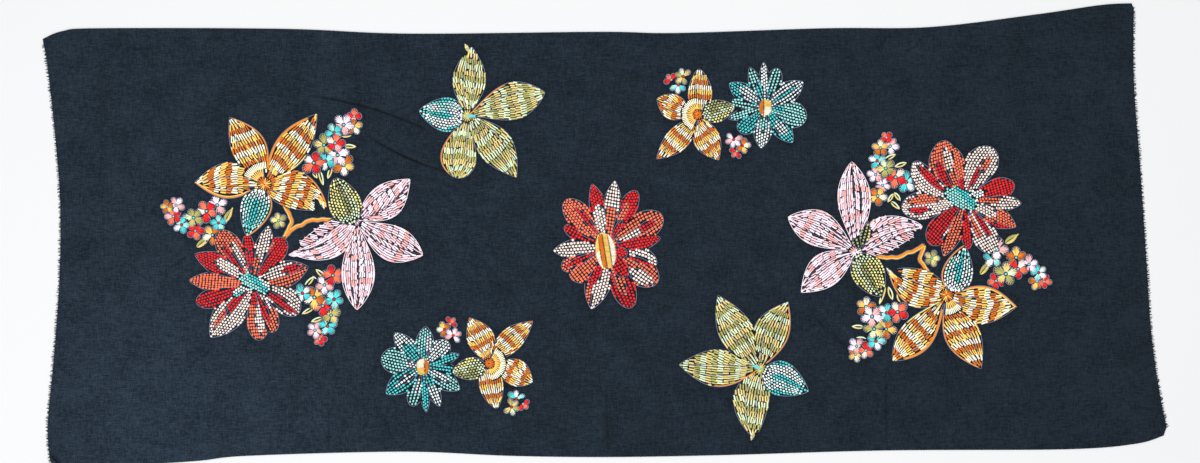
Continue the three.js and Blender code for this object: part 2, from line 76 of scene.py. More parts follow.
UNDERSIDE = 0.35  # the panel's back, on level ground
FACE = 1.1  # the panel's face, on level ground
SUNK = 0.15  # how far a stitch's foot lies below the face
PLY = 0.12  # turns of a stitch's ply for each width of its length
EDGE_STEP = 3.6  # straight steps of a petal's outline
LINE_STEP = 3.8  # straight steps of the cords within a petal
HALVED = 0.62  # where the rows have closed in to this share of their pitch, every second is left out
QUARTERED = 0.36  # and here every second of the rest
CLEAR = 0.7  # between a motif's stitches and the motifs above it
CORD_CLEAR = 0.6  # the same for its cords
SEAM = 0.9  # how much deeper a petal lies than its neighbours where its stitches show
BORDER_PITCH = 1.9  # from one cord of a lily's border to the next
LASH_WIDTH = 0.72  # of a lily's stitches, in the strip where they lie aslant
BAKE_MAP = "OFBake"
STRAND_MAP = "strand"


# ---- Plane geometry ----


def unit(angle: Array | float) -> Array:
    """The unit vector at an angle in degrees: its cosine and its sine."""
    turn = np.radians(angle)
    return np.stack([np.cos(turn), np.sin(turn)], -1)


def turned(points: Array, angle: float) -> Array:
    """Points turned about the origin: (x cos - y sin, x sin + y cos)."""
    c, s = unit(angle)
    return points @ np.array([[c, s], [-s, c]])


def left_of(direction: Array) -> Array:
    """Each vector turned a quarter to its left: (-y, x)."""
    return np.stack([-direction[..., 1], direction[..., 0]], -1)


def normalised(vectors: Array) -> Array:
    """Each vector divided by its length."""
    return vectors / np.maximum(np.linalg.norm(vectors, axis=-1, keepdims=True), 1e-9)


def spline(points: Sequence[tuple[float, float]], steps: int) -> Array:
    """A uniform Catmull-Rom curve through some points, with its end points doubled.

    Between two points, p = a t^3 + b t^2 + c t + d, whose slope at each point is half the step from
    the point before it to the point after it.

    Args:
        points: the points, in order.
        steps: straight steps between two neighbouring points.

    Returns:
        The points along the curve.
    """
    held = np.array(points, float)
    last = len(held) - 1
    at = np.linspace(0, last, last * steps + 1)
    i = np.minimum(at.astype(int), last - 1)
    t = (at - i)[:, None]
    before, here = held[np.maximum(i - 1, 0)], held[i]
    there, after = held[i + 1], held[np.minimum(i + 2, last)]
    slope_in, slope_out = (there - before) / 2, (after - here) / 2
    cubic = 2 * (here - there) + slope_in + slope_out
    square = 3 * (there - here) - 2 * slope_in - slope_out
    return ((cubic * t + square) * t + slope_in) * t + here


def lengths_along(line: Array) -> Array:
    """The length passed at each point of a line."""
    return np.concatenate([[0], np.cumsum(np.linalg.norm(np.diff(line, axis=0), axis=1))])


def resampled(line: Array, shares: Array) -> Array:
    """The points at these shares, 0 to 1, of a line's length."""
    passed = lengths_along(line)
    at = shares * passed[-1]
    return np.stack([np.interp(at, passed, line[:, 0]), np.interp(at, passed, line[:, 1])], -1)


def stepped(line: Array, step: float) -> Array:
    """A line cut into equal steps of about this length."""
    count = max(2, int(round(lengths_along(line)[-1] / step)))
    return resampled(line, np.linspace(0, 1, count + 1))


def from_line(points: Array, line: Array) -> tuple[Array, Array]:
    """How far points lie from a line of straight steps.

    Args:
        points: (count, 2) points.
        line: (steps + 1, 2) points of the line.

    Returns:
        Each point's distance from the line, and the share of the line passed at its nearest place.
    """
    passed = lengths_along(line)
    away = np.full(len(points), np.inf)
    share = np.zeros(len(points))
    for start, end, before, after in zip(line[:-1], line[1:], passed[:-1], passed[1:]):
        leg = end - start
        held = np.clip((points - start) @ leg / (leg @ leg), 0, 1)
        gap = np.linalg.norm(points - start - held[:, None] * leg, axis=1)
        nearer = gap < away
        away = np.where(nearer, gap, away)
        share = np.where(nearer, (before + held * (after - before)) / passed[-1], share)
    return away, share


# ---- The cloth's relief ----


@dataclass(frozen=True)
class Ridge:
    """A soft ridge in the laid cloth."""

    crest: Points
    half: float  # from the crest to the foot
    height: float

    def lift(self, points: Array) -> Array:
        """Height times a cosine hump across the crest, times a sine taper along it."""
        away, share = from_line(points, np.array(self.crest, float))
        across = 0.5 + 0.5 * np.cos(np.pi * np.minimum(away / self.half, 1))
        return self.height * across * np.sin(np.pi * share)


FOLDS = (
    Ridge(((-450, 224), (-346, 168), (-250, 122)), 29, 4.2),
    Ridge(((-322, 70), (-227, 66), (-128, 48)), 19, 2.6),
    Ridge(((-204, -76), (-126, -113), (-30, -142)), 20, 2.6),
    Ridge(((22, 104), (143, 83), (278, 57)), 20, 2.6),
    Ridge(((312, -116), (350, -142), (392, -192), (440, -236)), 24, 3.0),
    Ridge(((-950, -352), (-922, -376), (-896, -410)), 26, 3.4),
)

# Slight creases, too small to be cut in the solid panel.
CREASES = (
    Ridge(((0, -285), (2, -372)), 9, 1.5),
    Ridge(((-89, -239), (-45, -293)), 9, 1.5),
    Ridge(((-465, -327), (-464, -365)), 8, 1.2),
    Ridge(((571, 283), (622, 286)), 8, 1.2),
    Ridge(((-714, 276), (-613, 278)), 9, 1.2),
    Ridge(((-912, 60), (-865, 58)), 9, 1.5),
    Ridge(((-912, -19), (-869, -16)), 9, 1.2),
    Ridge(((-848, 338), (-842, 144)), 14, 1.0),
    Ridge(((469, -218), (470, -359)), 9, 1.0),
    Ridge(((533, 345), (526, 194)), 14, 0.8),
    Ridge(((821, -212), (825, -236)), 7, 0.9),
    Ridge(((150, -300), (330, -316)), 16, 0.7),
    Ridge(((650, 250), (760, 190)), 18, 0.7),
    Ridge(((-760, -240), (-690, -320)), 16, 0.7),
)


@dataclass(frozen=True)
class PaintedCreaseShade:
    """Painted shade along a crease in the cloth, bowed between its ends: it shows darker, or lighter as a
    painted highlight where dark is below zero.
    """

    start: tuple[float, float]
    end: tuple[float, float]
    dark: float  # below zero where it catches the light
    half: float = 2.4
    bow: float = 0.0  # to the left, as a share of the length

    def shade(self, place: "Flow") -> "Flow":
        """What share of the light is left: 1 - dark exp(-(away / half)^2) (4 t (1 - t))^0.5.

        t runs along the line from 0 to 1, and away is the distance across it, less 4 bow length t (1 - t).
        """
        run = np.subtract(self.end, self.start)
        length = float(np.hypot(*run))
        aim, side = run / length, left_of(run / length)
        t = (place.dot(*aim) - float(aim @ self.start)) * (1 / length)
        room = (t.held(0, 1) * (1 - t.held(0, 1))) * 4
        away = (place.dot(*side) - float(side @ self.start)) - room * (self.bow * length)
        far = away * (1 / self.half)
        return 1 - (far * far * -1).exponent() * room.root() * self.dark


# Painted shade and painted highlights along the creases in the cloth, multiplied into the wool's colour.
PAINTED_CREASE_SHADES = (
    PaintedCreaseShade((-500, 235), (-290, 172), 0.78, 2.2, 0.045),
    PaintedCreaseShade((-404, 171), (-262, 106), 0.85, 2.3, -0.045),
    PaintedCreaseShade((-325, 103), (-235, 76), 0.34, 4.5),
    PaintedCreaseShade((-303, 92), (-138, 61), -0.25, 5.0),
    PaintedCreaseShade((-205, -70), (-150, -98), 0.35, 3.0),
    PaintedCreaseShade((-160, -90), (-40, -140), -0.2, 5.0),
    PaintedCreaseShade((-66, -137), (-41, -180), 0.25, 3.5),
    PaintedCreaseShade((-98, -234), (-48, -288), 0.35, 3.0),
    PaintedCreaseShade((2, -274), (6, -372), 0.38, 3.0),
    PaintedCreaseShade((-464, -290), (-464, -366), 0.42, 2.4),
    PaintedCreaseShade((-847, 340), (-842, 60), 0.18, 8.0),
    PaintedCreaseShade((-718, 287), (-660, 293), 0.26, 2.2),
    PaintedCreaseShade((-692, -29), (-735, -57), 0.3, 3.0),
    PaintedCreaseShade((-934, -366), (-908, -388), 0.9, 2.6),
    PaintedCreaseShade((13, 108), (140, 86), -0.22, 5.0),
    PaintedCreaseShade((120, 84), (275, 62), -0.22, 5.0, 0.05),
    PaintedCreaseShade((78, -93), (150, -106), 0.32, 3.0),
    PaintedCreaseShade((200, -99), (285, -101), 0.22, 3.0),
    PaintedCreaseShade((345, -130), (450, -232), 0.3, 5.0),
    PaintedCreaseShade((335, -110), (462, -224), -0.18, 5.0, 0.06),
    PaintedCreaseShade((471, -215), (473, -364), 0.4, 2.4),
    PaintedCreaseShade((572, 282), (626, 288), 0.4, 2.2),
    PaintedCreaseShade((430, 190), (438, 150), 0.25, 2.4),
)


@dataclass(frozen=True)
class Relief:
    """The cloth's rise above level, which everything sewn on it shares."""

    ridges: tuple[Ridge, ...] = FOLDS + CREASES
    wave: float = 0.22

    def at(self, points: Array) -> Array:
        """The sum of the ridges and of a faint unevenness, made of three crossing waves."""
        x, y = points[:, 0], points[:, 1]
        uneven = (
            np.sin(x / 61 + 1.3 * np.sin(y / 83))
            + np.sin(y / 47 + 1.1 * np.sin(x / 71) + 2)
            + np.sin((x + y) / 39 + 4)
        )
        lifted = sum(ridge.lift(points) for ridge in self.ridges)
        return lifted + self.wave * (1 + uneven / 3)


RELIEF = Relief()


# ---- Meshes ----


@dataclass
class MeshParts:
    """Blocks of vertices and faces, which make one mesh.

    A vertex holds its place on the plan and its height above the cloth's face there. Faces that are
    out of sight come first, because in a bake the last of the faces that overlap is kept.
    """

    vertices: list[Array] = field(default_factory=list)
    colours: list[Array] = field(default_factory=list)
    strands: list[Array] = field(default_factory=list)
    hidden: list[Array] = field(default_factory=list)
    shown: list[Array] = field(default_factory=list)
    count: int = 0

    def add(self, vertices: Array, colours: Array, strands: Array, hidden: Faces, shown: Faces):
        """Adds a block.

        Args:
            vertices: (count, 3) places.
            colours: (count, 3) linear colours.
            strands: (count, 2) places along and across the thread.
            hidden: arrays of vertex numbers within the block, a row for each face.
            shown: the same, for the faces in sight.
        """
        self.hidden += [faces + self.count for faces in hidden]
        self.shown += [faces + self.count for faces in shown]
        self.vertices.append(vertices)
        self.colours.append(colours)
        self.strands.append(strands)
        self.count += len(vertices)

    def made(self, name: str, base: float = FACE) -> Piece:
        """Makes the mesh, on the cloth's relief.

        Args:
            name: the piece's name.
            base: the height that vertices are measured from, on level ground.

        Returns:
            The piece, whose object sits at the origin.
        """
        places = np.concatenate(self.vertices)
        places[:, 2] += base + RELIEF.at(places[:, :2])
        blocks = self.hidden + self.shown
        sizes = np.concatenate([np.full(len(faces), faces.shape[1]) for faces in blocks])
        corners = np.concatenate([faces.ravel() for faces in blocks])
        mesh = bpy.data.meshes.new(name)
        mesh.vertices.add(len(places))
        mesh.vertices.foreach_set("co", (places * MM).astype(np.float32).ravel())
        mesh.loops.add(len(corners))
        mesh.loops.foreach_set("vertex_index", corners.astype(np.int32))
        mesh.polygons.add(len(sizes))
        starts = np.concatenate([[0], np.cumsum(sizes)[:-1]])
        mesh.polygons.foreach_set("loop_start", starts.astype(np.int32))
        mesh.polygons.foreach_set("loop_total", sizes.astype(np.int32))
        mesh.polygons.foreach_set("use_smooth", np.ones(len(sizes), bool))
        mesh.update(calc_edges=True)
        plan = places[:, :2]
        low, high = plan.min(0), plan.max(0)
        flat = 0.01 + 0.98 * (plan - low) / (high - low)
        for layer, spots in ((BAKE_MAP, flat), (STRAND_MAP, np.concatenate(self.strands))):
            made = mesh.uv_layers.new(name=layer)
            made.uv.foreach_set("vector", spots[corners].astype(np.float32).ravel())
        paint = mesh.color_attributes.new("thread", "FLOAT_COLOR", "POINT")
        colours = np.concatenate(self.colours)
        rgba = np.concatenate([colours, np.ones((len(colours), 1))], 1)
        paint.data.foreach_set("color", rgba.astype(np.float32).ravel())
        mesh.validate()
        piece = bpy.data.objects.new(name, mesh)
        bpy.context.scene.collection.objects.link(piece)
        return piece


def tube_faces(rings: int, points: int) -> tuple[Array, Array, Array]:
    """The faces of one closed tube of rings, whose last side is its foot.

    Args:
        rings: rings along the tube.
        points: points round each ring, from its left foot over the top to its right foot.

    Returns:
        The foot's quads, the other quads and the two end faces.
    """
    at = np.arange(rings * points).reshape(rings, points)
    nearer, next_to = at[:-1], np.roll(at, -1, axis=1)[:-1]
    further, beyond = at[1:], np.roll(at, -1, axis=1)[1:]
    quads = np.stack([nearer, next_to, beyond, further], -1)
    ends = np.stack([at[0][::-1], at[-1]])
    return quads[:, -1].reshape(-1, 4), quads[:, :-1].reshape(-1, 4), ends


def repeated(faces: Array, times: int, stride: int) -> Array:
    """Faces of one shape repeated for each of its copies, whose vertices follow one another."""
    return (faces[None] + (np.arange(times) * stride)[:, None, None]).reshape(-1, faces.shape[1])


def strand_map(turns: Array, round_it: Array) -> Array:
    """Places on the strand map: the turns of the ply passed, and the share of the way round."""
    return np.stack(np.broadcast_arrays(turns, round_it / np.pi), -1).reshape(-1, 2)


# A stitch's section at four shares of its length: the shares, the spread and the rise.
STITCH = np.array([(0, 0.2, 0.8, 1), (0.5, 1, 1, 0.5), (0, 1, 1, 0)])
LONG_STITCH = np.array([(0, 0.08, 0.92, 1), (0.7, 1, 1, 0.7), (0.3, 1, 1, 0.3)])


# ---- Thread and stitches ----


class Thread(Enum):
    """The thread colours, as red, green and blue of 255 on a screen."""

    RED = (228, 24, 26)
    CORAL = (252, 122, 84)
    BLUSH = (255, 234, 224)
    TEAL = (78, 212, 212)
    MINT = (164, 236, 230)
    FROST = (242, 254, 250)
    GOLD = (255, 206, 104)
    AMBER = (214, 112, 14)
    CREAM = (255, 248, 220)
    FERN = (172, 172, 108)
    OLIVE = (182, 176, 100)
    STRAW = (228, 206, 132)
    PALE = (224, 238, 196)
    LEMON = (244, 236, 146)
    ROSE = (250, 186, 184)
    BLOOM = (246, 208, 216)
    LILAC = (255, 236, 247)
    SLATE = (116, 120, 142)
    DUSK = (62, 62, 82)
    ORANGE = (244, 148, 30)
    AQUA = (110, 214, 222)

    @property
    def linear(self) -> Array:
        """The colour in linear light: ((c + 0.055) / 1.055) to the power of 2.4."""
        return ((np.array(self.value) / 255 + 0.055) / 1.055) ** 2.4

    def spread(self, count: int) -> Array:
        """The colour in this many rows."""
        return np.tile(self.linear, (count, 1))


RED, CORAL, BLUSH, TEAL, MINT, FROST, GOLD, AMBER, CREAM, FERN, OLIVE, STRAW, PALE, LEMON = list(Thread)[:14]
ROSE, BLOOM, LILAC, SLATE, DUSK, ORANGE, AQUA = list(Thread)[14:]


def tones(threads: Sequence[Thread]) -> Array:
    """The linear colours of some threads, a row for each."""
    return np.stack([thread.linear for thread in threads])


@dataclass
class Stitches:
    """Straight stitches, a row of each array for a stitch."""

    start: Array
    end: Array
    width: Array
    rise: Array
    colour: Array
    long: bool = False

    @property
    def middle(self) -> Array:
        """The middle of each stitch."""
        return (self.start + self.end) / 2

    def kept(self, mask: Array) -> "Stitches":
        """The stitches that a mask picks."""
        rows = (self.start, self.end, self.width, self.rise, self.colour)
        return Stitches(*(row[mask] for row in rows), self.long)

    def moved(self, place: Callable[[Array], Array]) -> "Stitches":
        """The stitches with their ends moved by a function of places."""
        return replace(self, start=place(self.start), end=place(self.end))

    def trimmed(self, shows: Callable[[Array], Array], least: float) -> "Stitches":
        """The stitches cut back to where they show.

        Args:
            shows: from places to whether each is in sight.
            least: the shortest stitch that is kept, as a share of its length.

        Returns:
            The stitches that are left.
        """
        if not len(self.width):
            return self
        share = np.linspace(0, 1, 11)
        run = self.end - self.start
        places = self.start[:, None] + run[:, None] * share[:, None]
        seen = shows(places.reshape(-1, 2)).reshape(-1, len(share))
        first = share[np.argmax(seen, axis=1)]
        last = share[len(share) - 1 - np.argmax(seen[:, ::-1], axis=1)]
        cut = replace(self, start=self.start + run * first[:, None], end=self.start + run * last[:, None])
        return cut.kept(seen.any(1) & (last - first > least))

    def sewn(self, parts: MeshParts):
        """Adds each stitch as a short low strand whose ends dive into the cloth.

        A section is half an ellipse: from the middle line it goes width / 2 times the cosine to the
        side and rise times the sine up, both scaled by the section's profile along the stitch.
        """
        count = len(self.width)
        if not count:
            return
        along, spread, lift = LONG_STITCH if self.long else STITCH
        run = self.end - self.start
        round_it = np.linspace(0, np.pi, 5)
        centre = self.start[:, None] + run[:, None] * along[:, None]
        reach = (self.width / 2)[:, None, None] * spread[:, None] * np.cos(round_it)
        plan = centre[:, :, None] + left_of(normalised(run))[:, None, None] * reach[..., None]
        height = (self.rise + SUNK)[:, None, None] * lift[:, None] * np.sin(round_it) - SUNK
        vertices = np.concatenate([plan, height[..., None]], -1).reshape(-1, 3)
        turns = (PLY * np.linalg.norm(run, axis=1) / self.width)[:, None, None] * along[:, None]
        foot, sides, ends = (repeated(faces, count, 20) for faces in tube_faces(4, 5))
        colours = np.repeat(self.colour, 20, axis=0)
        parts.add(vertices, colours, strand_map(turns, round_it), [foot], [ends, sides])


@dataclass
class Cord:
    """A line of stem stitch or couched thread."""

    line: Array
    thread: Thread
    width: float = 1.25
    rise: float = 0.5
    twist: float = 0.9

    def sewn(self, parts: MeshParts):
        """Adds the cord as half a tube along its line, narrowed at both ends."""
        count = len(self.line)
        side = left_of(normalised(np.gradient(self.line, axis=0)))
        round_it = np.linspace(0, np.pi, 4)
        narrow = np.ones(count)
        narrow[[0, -1]] = 0.45
        reach = self.width / 2 * narrow[:, None] * np.cos(round_it)
        plan = self.line[:, None] + side[:, None] * reach[..., None]
        height = (self.rise + SUNK) * narrow[:, None] * np.sin(round_it) - SUNK
        vertices = np.concatenate([plan, height[..., None]], -1).reshape(-1, 3)
        turns = self.twist * lengths_along(self.line)[:, None] / self.width
        foot, sides, ends = tube_faces(count, 4)
        colours = self.thread.spread(len(vertices))
        parts.add(vertices, colours, strand_map(turns, round_it), [foot], [ends, sides])


@dataclass
class Knot:
    """A knot at the middle of a blossom."""

    place: Array
    thread: Thread
    radius: float
    rise: float = 1.1

    def sewn(self, parts: MeshParts):
        """Adds the knot as a low dome: rings of 7 points that close in as the cosine."""
        climb = np.radians([0, 32, 62])
        rings = unit(np.arange(7) * 360 / 7)[None] * (self.radius * np.cos(climb))[:, None, None]
        height = np.repeat(self.rise * np.sin(climb), 7)[:, None] - SUNK
        vertices = np.concatenate([(rings + self.place).reshape(-1, 2), height], 1)
        top = np.array([[*self.place, self.rise - SUNK]])
        foot, sides, ends = tube_faces(3, 7)
        rim = np.arange(14, 21)
        cap = np.stack([rim, np.roll(rim, -1), np.full(7, 21)], -1)
        blocks = ([ends[:1]], [foot, sides, cap])
        parts.add(np.concatenate([vertices, top]), self.thread.spread(22), np.full((22, 2), 0.4), *blocks)


@dataclass
class Work:
    """All that is sewn for one motif."""

    stitches: list[Stitches] = field(default_factory=list)
    cords: list[Cord] = field(default_factory=list)
    knots: list[Knot] = field(default_factory=list)

    def add(self, other: "Work"):
        """Adds another piece of work to this one."""
        self.stitches += other.stitches
        self.cords += other.cords
        self.knots += other.knots


# ---- Shapes on the plan ----


class Form(Enum):
    """The form of a petal: its half width is width / 2 times sin(pi t^lean)^blunt."""

    LILY = (1.35, 0.85)
    FULL = (1.05, 0.95)
    BROAD = (0.85, 0.7)
    ROUND = (1.8, 0.55)
    POINTED = (1.15, 0.8)
    BUD = (0.68, 0.75)
    BLUNT = (0.78, 0.64)
    SLIM = (1.0, 1.0)


LILY, FULL, BROAD, ROUND, POINTED, BUD, BLUNT, SLIM = Form


@dataclass(frozen=True)
class Disc:
    """A round patch."""

    x: float
    y: float
    radius: float

    def depth(self, points: Array) -> Array:
        """How far inside the patch each point lies, below zero outside."""
        return self.radius - np.linalg.norm(points - (self.x, self.y), axis=1)


@dataclass(frozen=True)
class Band:
    """A band along a line."""

    line: Points
    width: float

    def depth(self, points: Array) -> Array:
        """How far inside the band each point lies, below zero outside."""
        return self.width / 2 - from_line(points, spline(self.line, 6))[0]


@dataclass(frozen=True)
class Oval:
    """An oval patch, turned by an angle."""

    x: float
    y: float
    long: float
    wide: float
    angle: float

    def depth(self, points: Array) -> Array:
        """Half the narrow width times one minus the point's distance in radii of the oval."""
        own = turned(points - (self.x, self.y), -self.angle) / (self.long / 2, self.wide / 2)
        return self.wide / 2 * (1 - np.linalg.norm(own, axis=1))

    def rim(self, step: float = 4.0) -> Array:
        """The oval's closed outline."""
        ring = unit(np.linspace(0, 360, 41)) * (self.long / 2, self.wide / 2)
        return stepped(turned(ring, self.angle) + (self.x, self.y), step)


@dataclass(frozen=True)
class Fill:
    """How rows of stitches fill a shape."""

    pitch: float  # between rows
    reach: float  # from one stitch of a row to the next
    gap: float  # between two stitches of a row
    width: float
    rise: float
    gather: float  # how far the rows close in with the shape, from 0 to 1
    ragged: float  # unevenness of the stitches' ends
    margin: float  # kept free along the outline


# Columns: pitch, reach, gap, width, rise, gather, ragged, margin.
SEED = Fill(4.6, 5.3, 1.2, 3.9, 0.9, 0.5, 0.25, 0.9)
BIG_SEED = Fill(5.2, 5.6, 1.3, 4.35, 0.9, 0.5, 0.25, 0.9)
FINE_SEED = Fill(4.8, 5.3, 1.4, 3.4, 0.85, 0.5, 0.2, 0.8)
LONG_SEED = Fill(4.5, 6.4, 1.3, 3.25, 0.9, 0.9, 0.25, 0.9)
BUD_SEED = Fill(5.4, 5.4, 1.5, 3.7, 0.9, 0.85, 0.25, 0.9)
FULL_SEED = Fill(4.7, 5.3, 1.3, 3.5, 0.9, 0.85, 0.25, 0.8)
LONG = Fill(4.4, 9.8, -0.5, 3.1, 0.8, 0.8, 0.9, 0.8)
PALE_LONG = Fill(4.0, 10.5, -0.3, 3.2, 0.8, 0.8, 0.8, 0.8)
FINE_LONG = Fill(3.6, 8.2, -0.4, 2.55, 0.7, 0.8, 0.6, 0.7)


@dataclass
class Rows:
    """Rows of stitches in a petal: a row of each array for a stitch."""

    stitches: Stitches
    share: Array  # across, in half widths
    t: Array  # along, from root to tip
    number: Array  # along the row, from its root


@dataclass(frozen=True)
class Petal:
    """A petal, bud or leaf: two sides about a bowed axis that starts at its root."""

    angle: float
    length: float
    width: float
    bow: float = 0.0
    form: Form = LILY
    x: float = field(default=0.0, kw_only=True)
    y: float = field(default=0.0, kw_only=True)

    def half(self, t: Array) -> Array:
        """Half the width at t: width / 2 times sin(pi t^lean)^blunt."""
        lean, blunt = self.form.value
        return self.width / 2 * np.maximum(np.sin(np.pi * np.clip(t, 0, 1) ** lean), 0) ** blunt

    def axis(self, t: Array) -> Array:
        """How far the bowed axis lies to the left: 4 bow length t (1 - t)."""
        return 4 * self.bow * self.length * t * (1 - t)

    def placed(self, t: Array, across: Array) -> Array:
        """Places at t along and a distance to the left of the axis, in the motif's own frame."""
        own = np.stack([self.length * t, self.axis(t) + across], -1)
        return turned(own, self.angle) + (self.x, self.y)

    def within(self, points: Array) -> tuple[Array, Array]:
        """Each point's t, and its distance to the left of the axis."""
        own = turned(points - (self.x, self.y), -self.angle)
        t = own[:, 0] / self.length
        return t, own[:, 1] - self.axis(np.clip(t, 0, 1))

    def depth(self, points: Array) -> Array:
        """About how far inside the petal each point lies, below zero outside.

        It is the gap to the nearer side, times the cosine of that side's slope; past an end it is
        less by the distance past it.
        """
        t, across = self.within(points)
        step = 0.01
        slope = (self.half(t + step) - self.half(t - step)) / (2 * step * self.length)
        inside = (self.half(t) - np.abs(across)) / np.sqrt(1 + np.minimum(slope**2, 9))
        past = np.maximum(np.maximum(-t, t - 1), 0) * self.length
        return inside - past

    def side(self, share: float, start: float = 0.0, end: float = 1.0, inset: float = 0.0) -> Array:
        """A line along the petal at a share of its half width, less an inset."""
        t = np.linspace(start, end, 49)
        reach = np.maximum(self.half(t) * abs(share) - inset, 0)
        return self.placed(t, np.sign(share) * reach)

    def row(self, share: Array, t: Array, gather: float) -> Array:
        """A row's distance from the axis: share of half the width, partly closing in with it."""
        level = (1 - gather) * self.width / 2 + gather * self.half(t)
        return share * level

    def count(self, fill: Fill) -> int:
        """How many rows of a fill lie on each side of the axis, the last just inside the outline."""
        return max(1, round((self.width / 2 - fill.margin - 0.5) / fill.pitch))

    def rank(self, share: Array, fill: Fill) -> Array:
        """Which row each share belongs to, 0 on the axis."""
        return np.round(share * self.count(fill) / (1 - (fill.margin + 0.5) / (self.width / 2)))

    def staggered(self, fill: Fill) -> Rule:
        """Every second row moved along by half a reach."""
        return lambda share, t: 0.5 * (self.rank(share, fill) % 2)

    def filled(self, fill: Fill, shift: Rule, rng: Rng, slant: Rule | None = None) -> Rows:
        """Lays rows of stitches along the petal, cut off at its outline.

        The rows are stretched so that the outermost lies just inside the outline. Their stitches start
        at (k + shift) reach. Where the rows have closed in, those of every second row are left out.

        Args:
            fill: the sizes.
            shift: from each stitch's share and t, how far it is moved along, in reaches.
            rng: the unevenness.
            slant: from each stitch's share and t, the tangent of its angle to its row.

        Returns:
            The rows, with no colours yet.
        """
        count = self.count(fill)
        rows = np.arange(-count, count + 1)
        shares = rows / count * (1 - (fill.margin + 0.5) / (self.width / 2))
        fine = np.linspace(0, 1, 241)
        free = self.half(fine) - fill.margin - np.abs(self.row(shares[:, None], fine, fill.gather))
        inside = free > 0
        first = fine[np.argmax(inside, axis=1)][:, None]
        last = fine[len(fine) - 1 - np.argmax(inside[:, ::-1], axis=1)][:, None]
        steps = np.arange(-2, int(self.length / fill.reach) + 2)
        share, number = np.broadcast_arrays(shares[:, None], steps)
        reach = fill.reach / self.length
        phase = shift(share, (number + 0.5) * reach)
        uneven = rng.normal(0, fill.ragged / self.length, (2, *share.shape))
        start = np.clip((number + phase) * reach + uneven[0], first, last)
        end = np.clip((number + phase + 1) * reach - fill.gap / self.length + uneven[1], first, last)
        middle = (start + end) / 2
        closed = self.row(1.0, middle, fill.gather) / (self.width / 2)
        order = np.broadcast_to(np.abs(rows)[:, None], share.shape)
        thinned = ((order % 2 == 1) & (closed < HALVED)) | ((order % 4 == 2) & (closed < QUARTERED))
        wide = np.where(closed < QUARTERED, 4, np.where(closed < HALVED, 2, 1)) * closed
        keep = ((end - start) > 0.38 * reach) & inside.any(1)[:, None] & ~thinned
        wander = rng.normal(0, 0.05 * fill.pitch, (2, keep.sum()))
        share, start, end = share[keep], start[keep], end[keep]
        wide = np.clip(wide[keep], 0.74, 1.05)
        if slant is not None:
            aside = slant(share, middle[keep]) * (end - start) * self.length / 2
            wander += np.stack([-aside, aside])
        ends = [self.placed(t, self.row(share, t, fill.gather) + off) for t, off in zip((start, end), wander)]
        width = fill.width * wide * rng.normal(1, 0.07, len(share))
        rise = fill.rise * rng.normal(1, 0.06, len(share))
        stitches = Stitches(*ends, width, rise, np.zeros((len(share), 3)), fill.gap < 0)
        return Rows(stitches, share, middle[keep], number[keep])


def deepest(points: Array, shapes: Sequence[object]) -> Array:
    """The greatest depth of each point in any of the shapes, far below zero where there are none."""
    depths = [shape.depth(points) for shape in shapes]
    return np.max(depths, axis=0) if depths else np.full(len(points), -1e3)


def runs(line: Array, mask: Array, least: int = 3) -> list[Array]:
    """The unbroken stretches of a line where a mask holds, of at least this many points."""
    edges = np.flatnonzero(np.diff(np.concatenate([[False], mask, [False]]).astype(int)))
    return [line[a:b] for a, b in zip(edges[::2], edges[1::2]) if b - a >= least]


def besides(petal: object, petals: Iterable[object]) -> list[object]:
    """The petals other than this one."""
    return [other for other in petals if other is not petal]


def couched(line: Array, seen: Array, thread: Thread, *sizes: float) -> list[Cord]:
    """Cords along the stretches of a line that are seen, of a cord's width, rise and twist."""
    return [Cord(part, thread, *sizes) for part in runs(line, seen)]


def varied(colours: Array, rng: Rng, amount: float = 0.07) -> Array:
    """Colours made a little lighter or darker, each by its own factor."""
    return np.clip(colours * rng.normal(1, amount, (len(colours), 1)), 0, 1)


# ---- Motifs ----


@dataclass
class Motif:
    """A motif at its place on the cloth. In its own frame it lies about the origin."""

    name: str
    x: float
    y: float
    turn: float
    slot: str
    seed: int

    def shapes(self) -> list[object]:
        """The shapes that the motif covers, in its own frame."""
        raise NotImplementedError

    def work(self, rng: Rng) -> Work:
        """The motif's stitches, in its own frame."""
        raise NotImplementedError

    def placed(self, points: Array) -> Array:
        """Points from the motif's frame to the shawl's."""
        return turned(points, self.turn) + (self.x, self.y)

    def depth(self, points: Array) -> Array:
        """How deep in the motif points of the shawl lie."""
        return deepest(turned(points - (self.x, self.y), -self.turn), self.shapes())

    def sewn(self, above: Sequence["Motif"]) -> Work:
        """The motif's work on the shawl, which stops short of the motifs above it.

        Args:
            above: the motifs that were worked first.

        Returns:
            The work, in the shawl's frame.
        """
        raw = self.work(np.random.default_rng(self.seed))
        made = Work()
        for block in raw.stitches:
            block = block.moved(self.placed)
            made.stitches.append(block.trimmed(lambda at: deepest(at, above) < -CLEAR, 0.4))
        for cord in raw.cords:
            line = self.placed(cord.line)
            seen = deepest(line, above) < -CORD_CLEAR
            made.cords += [replace(cord, line=part) for part in runs(line, seen)]
        made.knots = [replace(knot, place=self.placed(knot.place)) for knot in raw.knots]
        return made


def both_sides(petal: Petal, start: float, thread: Thread = SLATE) -> list[Cord]:
    """A cord along each side of a petal, from a share of its length on."""
    return [Cord(stepped(petal.side(side, start, 1.0), EDGE_STEP), thread) for side in (-1.0, 1.0)]


